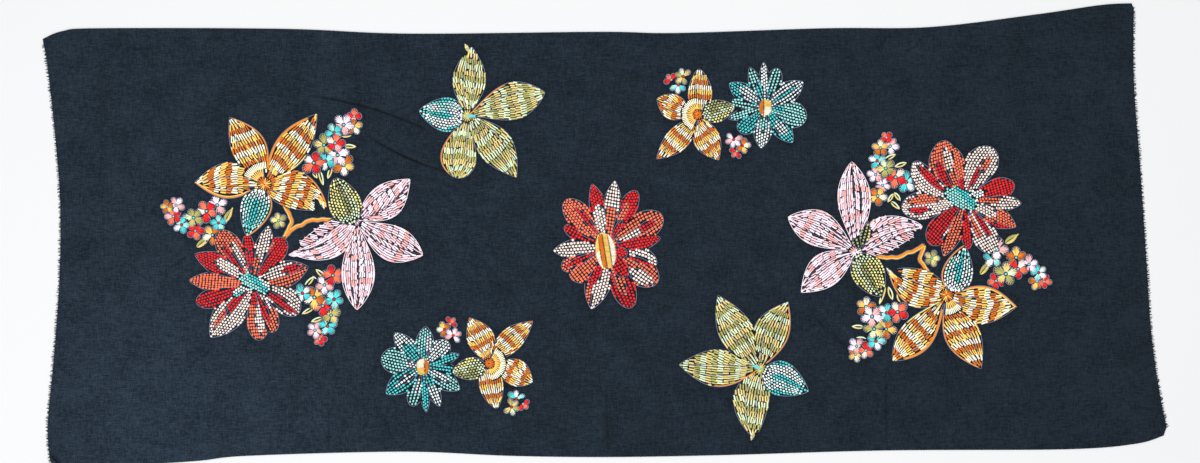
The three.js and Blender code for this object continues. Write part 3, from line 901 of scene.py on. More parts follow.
def outlined(petals: Sequence[Petal], over: Sequence[object], thread: Thread = SLATE) -> list[Cord]:
    """The outline of each petal where it is in sight, with the seams between neighbours.

    Args:
        petals: the petals, in order of angle.
        over: shapes that hide the petals.
        thread: the outline's colour.

    Returns:
        The cords.
    """
    cords = []
    for petal in petals:
        for line in (cord.line for cord in both_sides(petal, 0.02)):
            seen = (deepest(line, besides(petal, petals)) < 0.5) & (deepest(line, over) < 0)
            cords += couched(line, seen, thread)
    radii = np.arange(2.0, max(petal.length for petal in petals), EDGE_STEP)
    ordered = sorted(petals, key=lambda petal: petal.angle % 360)
    for petal, following in zip(ordered, ordered[1:] + ordered[:1]):
        gap = (following.angle - petal.angle) % 360
        line = unit(petal.angle + gap / 2) * radii[:, None]
        both = np.minimum(petal.depth(line), following.depth(line)) > -0.8
        cords += couched(line, both & (deepest(line, over) < 0), thread)
    return cords


def own_part(petal: Petal, petals: Sequence[Petal], over: Sequence[object]) -> Callable[[Array], Array]:
    """Tells where a petal shows: where it is deeper than the others, and clear of what is over it."""
    others = besides(petal, petals)

    def shows(points: Array) -> Array:
        return (petal.depth(points) - deepest(points, others) > SEAM) & (deepest(points, over) < -0.5)

    return shows


@dataclass(frozen=True)
class Vein:
    """A line from a lily's heart out along a petal, across which the bands are shifted."""

    root: float  # share of half the width, at the root
    tip: float
    until: float = 0.92


@dataclass(frozen=True)
class Border:
    """Coloured cords along part of one side of a petal."""

    petal: int
    side: int  # 1 for its left
    start: float
    end: float
    threads: tuple[Thread, ...]


@dataclass(frozen=True)
class Accent:
    """A pale line laid on a petal."""

    petal: int
    t: float
    share: float
    length: float
    lean: float


@dataclass(frozen=True)
class LilyKind:
    """The cut and the colours of a lily."""

    petals: tuple[Petal, ...]
    heart: float
    bands: tuple[Thread, ...]
    core: tuple[Thread, ...]
    fill: Fill
    vein: Thread = SLATE
    outline: Thread = SLATE
    mixed: float = 0.0  # the share of stitches in a neighbouring band's colour
    ribs: float = 1.5  # the width of its veins
    slit: float = 0.0  # how far the stitches stop short of its veins
    tilt: float = 0.26  # the steepest slant of a strip's stitches, as a tangent
    phases: tuple[float, ...] = (0.0, 1.1, 2.3, 0.6)  # how far each petal's bands are moved out
    borders: tuple[Border, ...] = ()
    fan: tuple[float, float, float] | None = None  # its two angles and its reach
    accents: tuple[Accent, ...] = ()
    bar: float | None = None  # the angle of a satin bar at the heart
    veins: tuple[Vein, ...] = (Vein(-0.38, -0.2), Vein(0.28, 0.46, 0.8))
    lash: tuple[int, int, float] | None = None  # a petal, its strip, and the slant of its stitches
    spurs: tuple[Petal, ...] = ()  # slim points beside a petal's tip
    cuts: tuple[object, ...] = ()  # shapes left bare, which split a tip


GOLD_LILY = LilyKind(
    petals=(
        Petal(117.4, 127, 58, -0.045, FULL),
        Petal(53.2, 148, 56, 0, FULL),
        Petal(178.5, 117, 60, -0.04, FULL),
        Petal(-20, 111, 63, 0.08, BROAD),
    ),
    heart=14,
    bands=(AMBER, GOLD, CREAM),
    core=(AMBER, GOLD),
    fill=LONG,
    mixed=0.02,
    phases=(0.67, 1.18, 2.3, 0.57),
    borders=(
        Border(0, -1, 0.2, 0.97, (ORANGE,)),
        Border(1, 1, 0.16, 0.9, (ORANGE, ORANGE)),
        Border(1, -1, 0.12, 0.55, (LEMON,)),
        Border(2, 1, 0.2, 1.0, (ORANGE, GOLD)),
        Border(3, 1, 0.55, 1.0, (ORANGE,)),
    ),
    fan=(93, 158, 38),
    accents=(Accent(0, 0.44, 0.02, 38, 7), Accent(0, 0.55, -0.5, 17, -2), Accent(1, 0.21, 0.1, 20, 8)),
    spurs=(Petal(-68, 31, 7, 0.0, SLIM, x=89.5, y=-14),),
    cuts=(Petal(-75, 34, 13, 0.0, ROUND, x=86, y=-19),),
)
EAST_GOLD_LILY = replace(
    GOLD_LILY,
    petals=(
        Petal(295, 137, 59, -0.035, FULL),
        Petal(230.5, 143, 56, 0.03),
        Petal(350.5, 119, 63, -0.05, FULL),
        Petal(158, 104, 64, 0.07, BROAD),
    ),
    phases=(0.3, 0.9, 1.6, 2.2),
    fan=(264, 322, 34),
    spurs=(Petal(126, 31, 7, 0.0, SLIM, x=-84, y=22),),
    cuts=(Petal(135, 30, 10, 0.0, ROUND, x=-76, y=28),),
)
PINK_LILY = LilyKind(
    petals=(
        Petal(36.5, 114, 57, -0.055, FULL),
        Petal(-28, 128, 59, -0.05),
        Petal(-89, 152, 55, 0.02),
        Petal(-151.5, 120, 57, 0.09, BROAD),
    ),
    heart=13,
    bands=(LILAC, BLOOM, LILAC, ROSE),
    core=(ROSE, LILAC),
    fill=PALE_LONG,
    vein=DUSK,
    outline=LILAC,
    mixed=0.14,
    ribs=1.9,
    slit=0.6,
    tilt=0.3,
    veins=(Vein(-0.56, -0.34, 0.88), Vein(-0.1, -0.02, 0.97), Vein(0.36, 0.52, 0.9)),
    lash=(3, 0, -0.9),
    spurs=(Petal(184, 20, 7, 0.0, SLIM, x=-92.5, y=-58),),
    cuts=(Disc(-104, -44, 10),),
)
EAST_PINK_LILY = replace(
    PINK_LILY,
    petals=(
        Petal(37.5, 114, 56, -0.055, FULL),
        Petal(-26.5, 128, 59, -0.05),
        Petal(-86.5, 152, 55, -0.01),
        Petal(-157.5, 120, 57, 0.09, BROAD),
    ),
    spurs=(),
    cuts=(Disc(-106, -29.5, 8),),
)
OLIVE_LILY = LilyKind(
    petals=(
        Petal(86, 116, 55, 0, FULL),
        Petal(16.6, 137, 62, 0.015),
        Petal(-51, 133, 58, 0.04, FULL),
        Petal(-98.5, 106, 60, -0.04, ROUND),
    ),
    heart=13,
    bands=(OLIVE, STRAW, PALE),
    core=(STRAW, OLIVE),
    fill=LONG,
    mixed=0.06,
    borders=(Border(1, 1, 0.02, 0.56, (ORANGE,)), Border(3, -1, 0.1, 0.95, (ORANGE,))),
    bar=-4.0,
    spurs=(Petal(118, 19, 6, 0.0, SLIM, x=5, y=105),),
    cuts=(Disc(-9, 111, 11),),
)
EAST_OLIVE_LILY = replace(
    OLIVE_LILY,
    petals=(
        Petal(264.5, 115, 59, -0.09, BROAD),
        Petal(177, 137, 62, 0.02, FULL),
        Petal(120, 143, 57, 0.03, FULL),
        Petal(67.6, 122, 59, 0.053, FULL),
    ),
    bar=154.0,
    spurs=(Petal(250, 18, 6, 0.0, SLIM, x=-10, y=-104),),
    cuts=(Disc(-7, -113, 6),),
)
SMALL_GOLD_LILY = LilyKind(
    petals=(
        Petal(89.5, 77, 40, -0.03, BROAD),
        Petal(159, 75, 42, 0.05),
        Petal(-133.5, 103, 39, 0.03, FULL),
        Petal(-66, 84, 44, -0.05, FULL),
    ),
    heart=10,
    bands=(AMBER, GOLD, CREAM),
    core=(AMBER, AMBER),
    fill=FINE_LONG,
    mixed=0.04,
    fan=(98, 247, 29),
)
WEST_SMALL_LILY = replace(
    SMALL_GOLD_LILY,
    petals=(
        Petal(100, 77, 40, -0.03, BROAD),
        Petal(157, 80, 44, 0.05),
        Petal(-136, 103, 39, 0.03, FULL),
        Petal(-67, 84, 45, -0.05, FULL),
    ),
)


@dataclass(frozen=True)
class Fan:
    """A sector of rays about the heart."""

    start: float
    end: float
    reach: float

    def depth(self, points: Array) -> Array:
        """The least of the gap to the rim and the gaps to the two sides."""
        radius = np.linalg.norm(points, axis=1)
        bearing = np.degrees(np.arctan2(points[:, 1], points[:, 0]))
        middle = (self.start + self.end) / 2
        off = np.abs((bearing - middle + 180) % 360 - 180)
        beside = np.radians((self.end - self.start) / 2 - off) * radius
        return np.minimum(self.reach - radius, beside)


def rays(start: float, end: float, inner: float, outer: float, pitch: float, rng: Rng) -> Stitches:
    """Stitches that point away from the origin, between two angles and two radii."""
    radius = (inner + outer) / 2
    count = max(1, int(math.radians(end - start) * radius / pitch))
    bearing = start + (np.arange(count) + 0.5) * (end - start) / count
    aim = unit(bearing)
    ends = rng.normal(0, 0.5, (2, count, 1))
    width = np.full(count, pitch * 0.86)
    places = (aim * (inner + ends[0]), aim * (outer + ends[1]))
    return Stitches(*places, width, np.full(count, 0.75), np.zeros((count, 3)), True)


@dataclass
class Lily(Motif):
    """A lily of long stitches laid along its petals, in bands across them."""

    kind: LilyKind = GOLD_LILY

    def shapes(self) -> list[object]:
        """The petals, their spurs, and the disc of the heart."""
        return [*self.kind.petals, *self.kind.spurs, Disc(0, 0, self.kind.heart)]

    def over(self) -> list[object]:
        """What lies over the petals' roots."""
        kind = self.kind
        fan = [Fan(*kind.fan)] if kind.fan else []
        return [Disc(0, 0, kind.heart * 0.8), *fan, *kind.cuts]

    def petal(self, number: int, rng: Rng) -> Work:
        """One petal's bands, veins and borders."""
        kind = self.kind
        petal = kind.petals[number]
        others = besides(petal, kind.petals)
        gather = kind.fill.gather
        lean = rng.normal(0, 0.06, len(kind.veins))
        steps = kind.phases[number] + rng.uniform(-0.32, 0.32, len(kind.veins) + 1)

        def vein(index: int, t: Array) -> Array:
            root, tip = kind.veins[index].root + lean[index], kind.veins[index].tip + lean[index]
            return root + (tip - root) * t

        def strip(share: Array, t: Array) -> Array:
            return sum((share > vein(index, t)).astype(int) for index in range(len(lean)))

        def shift(share: Array, t: Array) -> Array:
            row = petal.rank(share, kind.fill)
            return steps[strip(share, t)] + 0.2 * np.sin(2.4 * share + number) + 0.08 * (row % 2)

        leans = rng.uniform(-kind.tilt, kind.tilt, len(kind.veins) + 1)
        lashed = kind.lash and kind.lash[0] == number
        if lashed:
            leans[kind.lash[1]] = kind.lash[2]

        def slant(share: Array, t: Array) -> Array:
            return leans[strip(share, t)] + 0.14 * np.sin(5 * t + 2 * number)

        rows = petal.filled(kind.fill, shift, rng, slant)
        if lashed:
            narrow = np.where(strip(rows.share, rows.t) == kind.lash[1], LASH_WIDTH, 1.0)
            rows.stitches.width = narrow * rows.stitches.width
        nearby = (rng.random(len(rows.share)) < kind.mixed).astype(int)
        band = (rows.number + nearby) % len(kind.bands)
        rows.stitches.colour = varied(tones(kind.bands)[band], rng)
        across = petal.row(rows.share, rows.t, gather)
        keep = np.ones(len(across), bool)
        work = Work()
        for border in kind.borders:
            if border.petal != number:
                continue
            taken = (rows.t > border.start - 0.03) & (rows.t < border.end + 0.03)
            room = 1.6 + BORDER_PITCH * len(border.threads)
            keep &= (petal.half(rows.t) - border.side * across > room) | ~taken
            for place, thread in enumerate(border.threads):
                side = petal.side(border.side, border.start, border.end, 1.5 + BORDER_PITCH * place)
                line = stepped(side, LINE_STEP)
                seen = deepest(line, others) < petal.depth(line) + 2
                work.cords += couched(line, seen, thread, 2.0, 0.75, 0.5)
        shows = own_part(petal, kind.petals, self.over())

        def apart(points: Array) -> Array:
            t, side = petal.within(points)
            near = [
                np.where(t < each.until, np.abs(side - petal.row(vein(index, t), t, gather)), np.inf)
                for index, each in enumerate(kind.veins)
            ]
            return shows(points) & (np.min(near, axis=0) > kind.slit)

        work.stitches.append(rows.stitches.kept(keep).trimmed(apart if kind.slit else shows, 0.25))
        for index, each in enumerate(kind.veins):
            t = np.linspace(0.1, each.until, 60)
            line = stepped(petal.placed(t, petal.row(vein(index, t), t, gather)), LINE_STEP)
            seen = (petal.depth(line) > 1) & (deepest(line, others) < petal.depth(line))
            work.cords += couched(line, seen & (deepest(line, self.over()) < 0), kind.vein, kind.ribs, 1.3)
        return work

    def spur(self, spur: Petal, rng: Rng) -> Work:
        """A slim point: one row of long stitches between two outlines."""
        kind = self.kind
        rows = spur.filled(kind.fill, lambda share, t: 0 * t, rng)
        rows.stitches.colour = varied(tones(kind.bands)[rows.number % len(kind.bands)], rng)
        return Work([rows.stitches], both_sides(spur, 0.05, kind.outline))

    def heart(self, rng: Rng) -> Work:
        """The rays about the heart, the fan over the petals' roots and the satin bar."""
        kind = self.kind
        work = Work()
        inner = rays(0, 360, 1.2, kind.heart * 0.8, 2.3, rng)
        inner.colour = varied(tones(kind.core)[rng.integers(0, 2, len(inner.width))], rng)
        if kind.fan:
            start, end, reach = kind.fan
            inner = inner.kept(Fan(start, end, reach).depth(inner.middle) < 0)
            rings = reach * np.array([0.06, 0.36, 0.68, 0.97])
            for near, far, thread in zip(rings[:-1], rings[1:], (AMBER, GOLD, CREAM)):
                ring = rays(start + 1, end - 1, near - 0.4, far + 0.4, 2.6, rng)
                ring.colour = varied(thread.spread(len(ring.width)), rng)
                work.stitches.append(ring)
            for angle in (start, end):
                work.cords.append(Cord(unit(angle) * np.linspace(3, reach, 9)[:, None], kind.vein, 1.0, 0.5))
        work.stitches.append(inner)
        if kind.bar is not None:
            aim = unit(kind.bar)
            across = left_of(aim) * np.linspace(-1.6, 1.6, 3)[:, None]
            ends = (across - aim * 2, across + aim * 16)
            work.stitches.append(Stitches(*ends, np.full(3, 1.8), np.full(3, 1.3), AQUA.spread(3)))
        for accent in kind.accents:
            petal = kind.petals[accent.petal]
            t = np.array([accent.t])
            place = petal.placed(t, accent.share * petal.half(t))[0]
            aim = unit(petal.angle + accent.lean) * accent.length
            line = place + aim * np.linspace(-0.5, 0.5, 7)[:, None]
            work.cords.append(Cord(line, LEMON, 2.3, 1.1, 0.3))
        return work

    def work(self, rng: Rng) -> Work:
        """The petals, then the heart and the outline."""
        work = Work()
        for number in range(len(self.kind.petals)):
            work.add(self.petal(number, rng))
        for spur in self.kind.spurs:
            work.add(self.spur(spur, rng))
        work.add(self.heart(rng))
        work.cords += outlined(self.kind.petals, self.over(), self.kind.outline)
        return work


@dataclass(frozen=True)
class Lens:
    """A lens of another colour within a petal: its two ends along it, its middle and half its width."""

    thread: Thread
    start: float
    end: float
    share: float = 0.0
    wide: float = 0.4

    def lobe(self, t: Array) -> Array:
        """Half the lens's width at t: wide times sin(pi u)^0.6, where u runs from end to end."""
        u = np.clip((t - self.start) / (self.end - self.start), 0, 1)
        return self.wide * np.maximum(np.sin(np.pi * u), 0) ** 0.6

    def rim(self, petal: Petal) -> Array:
        """The lens's closed outline on a petal."""
        t = np.linspace(self.start, self.end, 31)
        sides = [petal.placed(t, (self.share + turn * self.lobe(t)) * petal.half(t)) for turn in (1, -1)]
        return np.concatenate([sides[0], sides[1][::-1]])


@dataclass(frozen=True)
class Patch(Petal):
    """A petal with its own colour and its lenses'."""

    outer: Thread = RED
    lenses: tuple[Lens, ...] = ()
    top: bool = False  # it lies over the petals beside it


@dataclass(frozen=True)
class DahliaKind:
    """The cut and the colours of a dahlia."""

    patches: tuple[Patch, ...]
    heart: tuple[Oval, ...]
    fill: Fill

    def layer(self, top: bool) -> list[Patch]:
        """The petals that lie on top, or the others."""
        return [patch for patch in self.patches if patch.top is top]


def lensed(rows: Iterable[tuple]) -> tuple[Lens, ...]:
    """Lenses from rows of their fields."""
    return tuple(Lens(*row) for row in rows)


def patches(*rows: tuple) -> tuple[Patch, ...]:
    """Patches from rows of their angle, length, width, bow, form, colour and lenses' rows."""
    return tuple(Patch(*row[:6], lensed(row[6:])) for row in rows)


RED_DAHLIA = DahliaKind(
    patches=patches(
        (17, 97, 44, 0, POINTED, CORAL, (RED, 0.54, 0.98, 0.28, 0.4), (BLUSH, 0.08, 0.92, 0.45, 0.62)),
        (55, 93, 40, 0.03, ROUND, RED, (CORAL, 0.18, 0.84, 0.5, 0.24)),
        (75, 101, 34, -0.03, POINTED, BLUSH, (CORAL, 0.08, 0.48, 0.45, 0.5)),
        (97, 86, 20, 0, ROUND, RED, (RED, 0.2, 0.72, 0.3, 0.4)),
        (123, 106, 42, 0, ROUND, CORAL, (RED, 0.12, 0.8, 0.3, 0.3), (BLUSH, 0.12, 0.78, -0.38, 0.26)),
        (153, 110, 39, -0.03, POINTED, RED, (BLUSH, 0.12, 0.68, -0.15, 0.62)),
        (177, 108, 35, 0, POINTED, CORAL),
        (198.5, 101, 34, 0.02, ROUND, RED),
        (231.5, 115, 51, 0, POINTED, BLUSH, (RED, 0.12, 0.62, -0.15, 0.3), (CORAL, 0.5, 0.88, -0.32, 0.22)),
        (276.5, 96, 37, 0.02, ROUND, CORAL, (BLUSH, 0.36, 0.9, 0.18, 0.45), (RED, 0.1, 0.4, -0.3, 0.6)),
        (294, 89, 34, 0, ROUND, CORAL, (RED, 0.12, 0.8, -0.05, 0.42), (BLUSH, 0.15, 0.58, 0.75, 0.42)),
        (328, 92, 44, 0.06, ROUND, BLUSH, (RED, 0.15, 0.97, -0.35, 0.38)),
    ),
    heart=(Oval(4, 1, 62, 27, -24), Oval(-20, -10, 36, 17, 36)),
    fill=SEED,
)
EAST_DAHLIA = DahliaKind(
    patches=patches(
        (111, 107, 50, 0.1, ROUND, CORAL, (RED, 0.12, 0.75, 0.36, 0.38), (BLUSH, 0.48, 0.9, -0.34, 0.3)),
        (102, 91, 28, 0, ROUND, CORAL, (RED, 0.15, 0.42, -0.2, 0.8)),
        (62, 101, 53, 0.04, ROUND, BLUSH, (RED, 0.15, 0.62, -0.05, 0.24), (CORAL, 0.55, 0.86, -0.25, 0.26)),
        (18, 89, 37, 0, ROUND, RED),
        (-3, 97, 33, 0, POINTED, BLUSH, (CORAL, 0.12, 0.64, 0.3, 0.62)),
        (-27, 98, 38, 0, POINTED, CORAL, (BLUSH, 0.1, 0.62, 0.1, 0.6), (RED, 0.52, 0.95, -0.75, 0.3)),
        (-60, 102, 41, 0, ROUND, BLUSH, (RED, 0.2, 0.74, 0.38, 0.3), (CORAL, 0.2, 0.7, -0.34, 0.28)),
        (-85, 82, 20, 0, ROUND, RED),
        (-110, 100, 34, 0, POINTED, CORAL),
        (-128.5, 94, 43, 0, ROUND, RED, (BLUSH, 0.25, 0.82, 0.62, 0.24)),
        (187, 106, 46, 0, ROUND, BLUSH, (CORAL, 0.34, 0.95, -0.45, 0.36), (RED, 0.55, 0.92, 0.34, 0.25)),
        (143.6, 107, 40, 0.13, ROUND, BLUSH, (RED, 0.3, 0.95, -0.45, 0.36)),
    ),
    heart=(Oval(-6, 3, 62, 33, -28), Oval(18, 8, 42, 19, 24)),
    fill=SEED,
)
MIDDLE_DAHLIA = DahliaKind(
    patches=patches(
        (30, 108, 47, 0, ROUND, CORAL, (BLUSH, 0.15, 0.62, -0.12, 0.34), (RED, 0.56, 0.86, -0.1, 0.34)),
        (10, 92, 33, 0, POINTED, RED),
        (-19, 89, 36, 0.02, ROUND, BLUSH, (RED, 0.42, 0.95, -0.4, 0.42)),
        (-35, 104, 47, 0, ROUND, CORAL, (BLUSH, 0.5, 0.98, -0.35, 0.5)),
        (-68, 110, 39, 0, ROUND, RED, (CORAL, 0.12, 0.78, -0.05, 0.5)),
        (-104, 107, 44, 0, POINTED, BLUSH, (RED, 0.12, 0.66, -0.45, 0.5), (CORAL, 0.5, 1.0, -0.7, 0.4)),
        (222, 80, 43, 0.02, ROUND, CORAL),
        (205, 84, 32, 0, ROUND, CORAL, (RED, 0.26, 0.92, 0.0, 0.36)),
        (183.5, 90, 35, 0, POINTED, BLUSH),
        (154, 80, 24, 0, ROUND, RED, (CORAL, 0.3, 0.72, -0.35, 0.34)),
        (131.5, 106, 41, 0, ROUND, CORAL, (RED, 0.22, 0.82, -0.28, 0.26)),
        (103, 110, 32, -0.02, POINTED, RED, (BLUSH, 0.1, 0.68, 0.1, 0.8)),
        (83, 113, 34, 0, POINTED, BLUSH, (CORAL, 0.1, 0.62, 0.0, 0.85)),
        (62.5, 108, 31, 0, ROUND, RED, (CORAL, 0.4, 0.78, 0.2, 0.4), (RED, 0.1, 0.5, -0.1, 0.5)),
    )
    + (
        Patch(-16, 36, 19, 0.0, ROUND, RED, (), True, x=0, y=-2),
        Patch(-56, 60, 24, 0.0, ROUND, RED, (), True),
    ),
    heart=(Oval(-2, -6, 61, 36, 99),),
    fill=BIG_SEED,
)
TEAL_DAHLIA = DahliaKind(
    patches=patches(
        (34, 77, 36, 0, POINTED, FROST, (TEAL, 0.2, 0.8, 0.0, 0.28)),
        (72, 69, 26, 0, ROUND, MINT, (TEAL, 0.12, 0.5, -0.1, 0.5)),
        (92, 77, 18, 0, POINTED, FROST),
        (111, 73, 23, 0, POINTED, MINT, (TEAL, 0.1, 0.62, -0.35, 0.6)),
        (146, 73, 33, 0, POINTED, TEAL, (FROST, 0.15, 0.75, -0.2, 0.6)),
        (170, 57, 24, 0, ROUND, MINT),
        (197, 65, 20, 0, POINTED, MINT),
        (223, 60, 32, 0, ROUND, TEAL),
        (264, 69, 31, 0, POINTED, FROST, (MINT, 0.1, 0.6, 0.0, 0.45)),
        (308, 75, 32, 0, POINTED, TEAL, (FROST, 0.38, 0.78, 0.0, 0.6)),
        (345, 72, 43, 0, ROUND, MINT, (TEAL, 0.1, 0.45, 0.3, 0.45)),
    ),
    heart=(Oval(1, 0, 28, 24, 90),),
    fill=FINE_SEED,
)
WEST_TEAL_COLOURS = (
    (TEAL, (FROST, 0.1, 0.72, 0.0, 0.36)),
    (MINT, (FROST, 0.2, 0.7, 0.2, 0.5)),
    (TEAL,),
    (FROST, (TEAL, 0.1, 0.5, 0.1, 0.8)),
    (MINT, (FROST, 0.15, 0.7, 0.2, 0.5)),
    (TEAL,),
    (TEAL,),
    (FROST,),
    (MINT, (TEAL, 0.08, 0.48, 0.0, 0.45), (FROST, 0.3, 0.8, -0.45, 0.3)),
    (FROST, (TEAL, 0.08, 0.66, -0.05, 0.8)),
    (MINT, (FROST, 0.14, 0.4, 0.1, 0.6)),
)
WEST_TEAL_DAHLIA = replace(
    TEAL_DAHLIA,
    patches=tuple(
        replace(patch, outer=outer, lenses=lensed(lenses))
        for patch, (outer, *lenses) in zip(TEAL_DAHLIA.patches, WEST_TEAL_COLOURS)
    ),
)


class Centre(Enum):
    """What fills the middle of a dahlia: seeds, or satin columns.

    Each column has its two sides, as shares of half the oval's width, its stitches' slant and its
    colour, or its colours in the oval's two halves.
    """

    SEEDS = ()
    SATIN = (
        (-0.98, -0.5, 30, (CREAM, GOLD)),
        (-0.5, -0.1, 40, (AMBER,)),
        (-0.08, 0.42, -8, (GOLD,)),
        (0.42, 0.96, -8, (CREAM,)),
    )
    SMALL_SATIN = ((-0.95, -0.33, 35, (AMBER,)), (-0.36, 0.9, 8, (CREAM, GOLD)))


@dataclass
class Dahlia(Motif):
    """A dahlia of seed stitches, in rows along its petals."""

    kind: DahliaKind = RED_DAHLIA
    centre: Centre = Centre.SEEDS
    core: float = 45.0

    def shapes(self) -> list[object]:
        """The petals, and the disc that their roots fill."""
        return [*self.kind.patches, Disc(0, 0, self.core)]

    def patch(self, number: int, rng: Rng) -> Work:
        """One petal's seeds, with the outlines of its lenses."""
        petal = self.kind.patches[number]
        fill = self.kind.fill
        beside = self.kind.layer(petal.top)
        heart = [replace(oval, long=oval.long - 4, wide=oval.wide - 4) for oval in self.kind.heart]
        over = [*heart, *([] if petal.top else self.kind.layer(True))]
        rest = rng.uniform(0, 1)

        def shift(share: Array, t: Array) -> Array:
            return rest + 0.5 * (petal.rank(share, fill) % 2) * (number % 3 > 0) + 0.2 * share

        rows = petal.filled(fill, shift, rng)
        colour = petal.outer.spread(len(rows.share))
        keep = np.ones(len(rows.share), bool)
        half = np.maximum(petal.half(rows.t), 1)
        share = petal.row(rows.share, rows.t, fill.gather) / half
        work = Work()
        for lens in reversed(petal.lenses):
            off = np.abs(share - lens.share) - lens.lobe(rows.t)
            beyond = (rows.t < lens.start) | (rows.t > lens.end)
            within = (off < 0) & (rows.t > lens.start) & (rows.t < lens.end)
            colour = np.where(within[:, None], lens.thread.linear, colour)
            keep &= (np.abs(off) * half > 0.5) | beyond
            line = stepped(lens.rim(petal), LINE_STEP)
            seen = (petal.depth(line) > 1.5) & (deepest(line, over) < 0)
            seen &= deepest(line, besides(petal, beside)) < petal.depth(line)
            work.cords += couched(line, seen, SLATE, 1.0, 0.4)
        rows.stitches.colour = varied(colour, rng)
        work.stitches.append(rows.stitches.kept(keep).trimmed(own_part(petal, beside, over), 0.55))
        return work

    def seeds(self, rng: Rng) -> Work:
        """A heart of seed stitches in teal, mint and frost, laid level across its ovals."""
        work = Work()
        fill = self.kind.fill
        rows, steps = np.arange(-6, 7), np.arange(-9, 10)
        for number, oval in enumerate(self.kind.heart):
            across, along = np.meshgrid(rows * fill.pitch * 0.92, steps * fill.reach * 0.92, indexing="ij")
            along = along + 0.5 * fill.reach * (rows[:, None] % 2)
            spots = np.stack([along.ravel(), across.ravel()], -1) + rng.normal(0, 0.25, (along.size, 2))
            middle = turned(spots, oval.angle) + (oval.x, oval.y)
            inside = (oval.depth(middle) > 1.0) & (deepest(middle, self.kind.heart[:number]) < -0.5)
            middle = middle[inside]
            aim = unit(oval.angle + rng.normal(0, 6, len(middle))) * (fill.reach - fill.gap) * 0.46
            size = np.full(len(middle), fill.width * 0.95)
            own = middle @ unit(oval.angle + 70)
            pick = np.where(own > 2, 0, 1) if number == 0 else np.where(own > -8, 2, 0)
            pick = np.where(middle @ unit(45) > 12, 2, pick)
            colour = varied(tones((TEAL, MINT, FROST))[pick], rng)
            work.stitches.append(Stitches(middle - aim, middle + aim, size, size * 0 + fill.rise, colour))
        return work

    def satin(self, rng: Rng) -> Work:
        """A heart of satin stitch: columns along the oval, each of level or slanted stitches."""
        work = Work()
        oval = self.kind.heart[0]
        pitch = 2.0
        steps = np.arange(-oval.long / 2, oval.long / 2, pitch)
        for left, right, slant, threads in self.centre.value:
            middle = (left + right) / 2
            room = np.sqrt(np.maximum(1 - (2 * steps / oval.long) ** 2, 0))
            ends = []
            for share in (left, right):
                offset = np.clip(share, -room * 0.98, room * 0.98) * oval.wide / 2
                climb = (share - middle) * oval.wide / 2 * math.tan(math.radians(slant))
                ends.append(np.stack([steps + climb, -offset], -1))
            keep = np.linalg.norm(ends[1] - ends[0], axis=1) > 2.0
            made = [turned(end, oval.angle) + (oval.x, oval.y) for end in ends]
            colour = varied(tones(threads)[(steps > 0) * (len(threads) - 1)], rng)
            block = Stitches(*made, np.full(len(steps), pitch * 0.88), np.ones(len(steps)), colour)
            work.stitches.append(block.kept(keep))
        return work

    def work(self, rng: Rng) -> Work:
        """The petals, then the heart and the outline."""
        work = Work()
        for number in range(len(self.kind.patches)):
            work.add(self.patch(number, rng))
        work.add(self.seeds(rng) if self.centre is Centre.SEEDS else self.satin(rng))
        tops = self.kind.layer(True)
        work.cords += outlined(self.kind.layer(False), [*self.kind.heart, *tops])
        if tops:
            work.cords += outlined(tops, self.kind.heart)
        if self.centre is not Centre.SEEDS:
            work.cords.append(Cord(self.kind.heart[0].rim(), SLATE, 1.1, 0.5))
        return work


class BudKind(Enum):
    """How a bud is coloured."""

    TEAL = "teal"
    PALE = "pale teal"
    OLIVE = "olive"


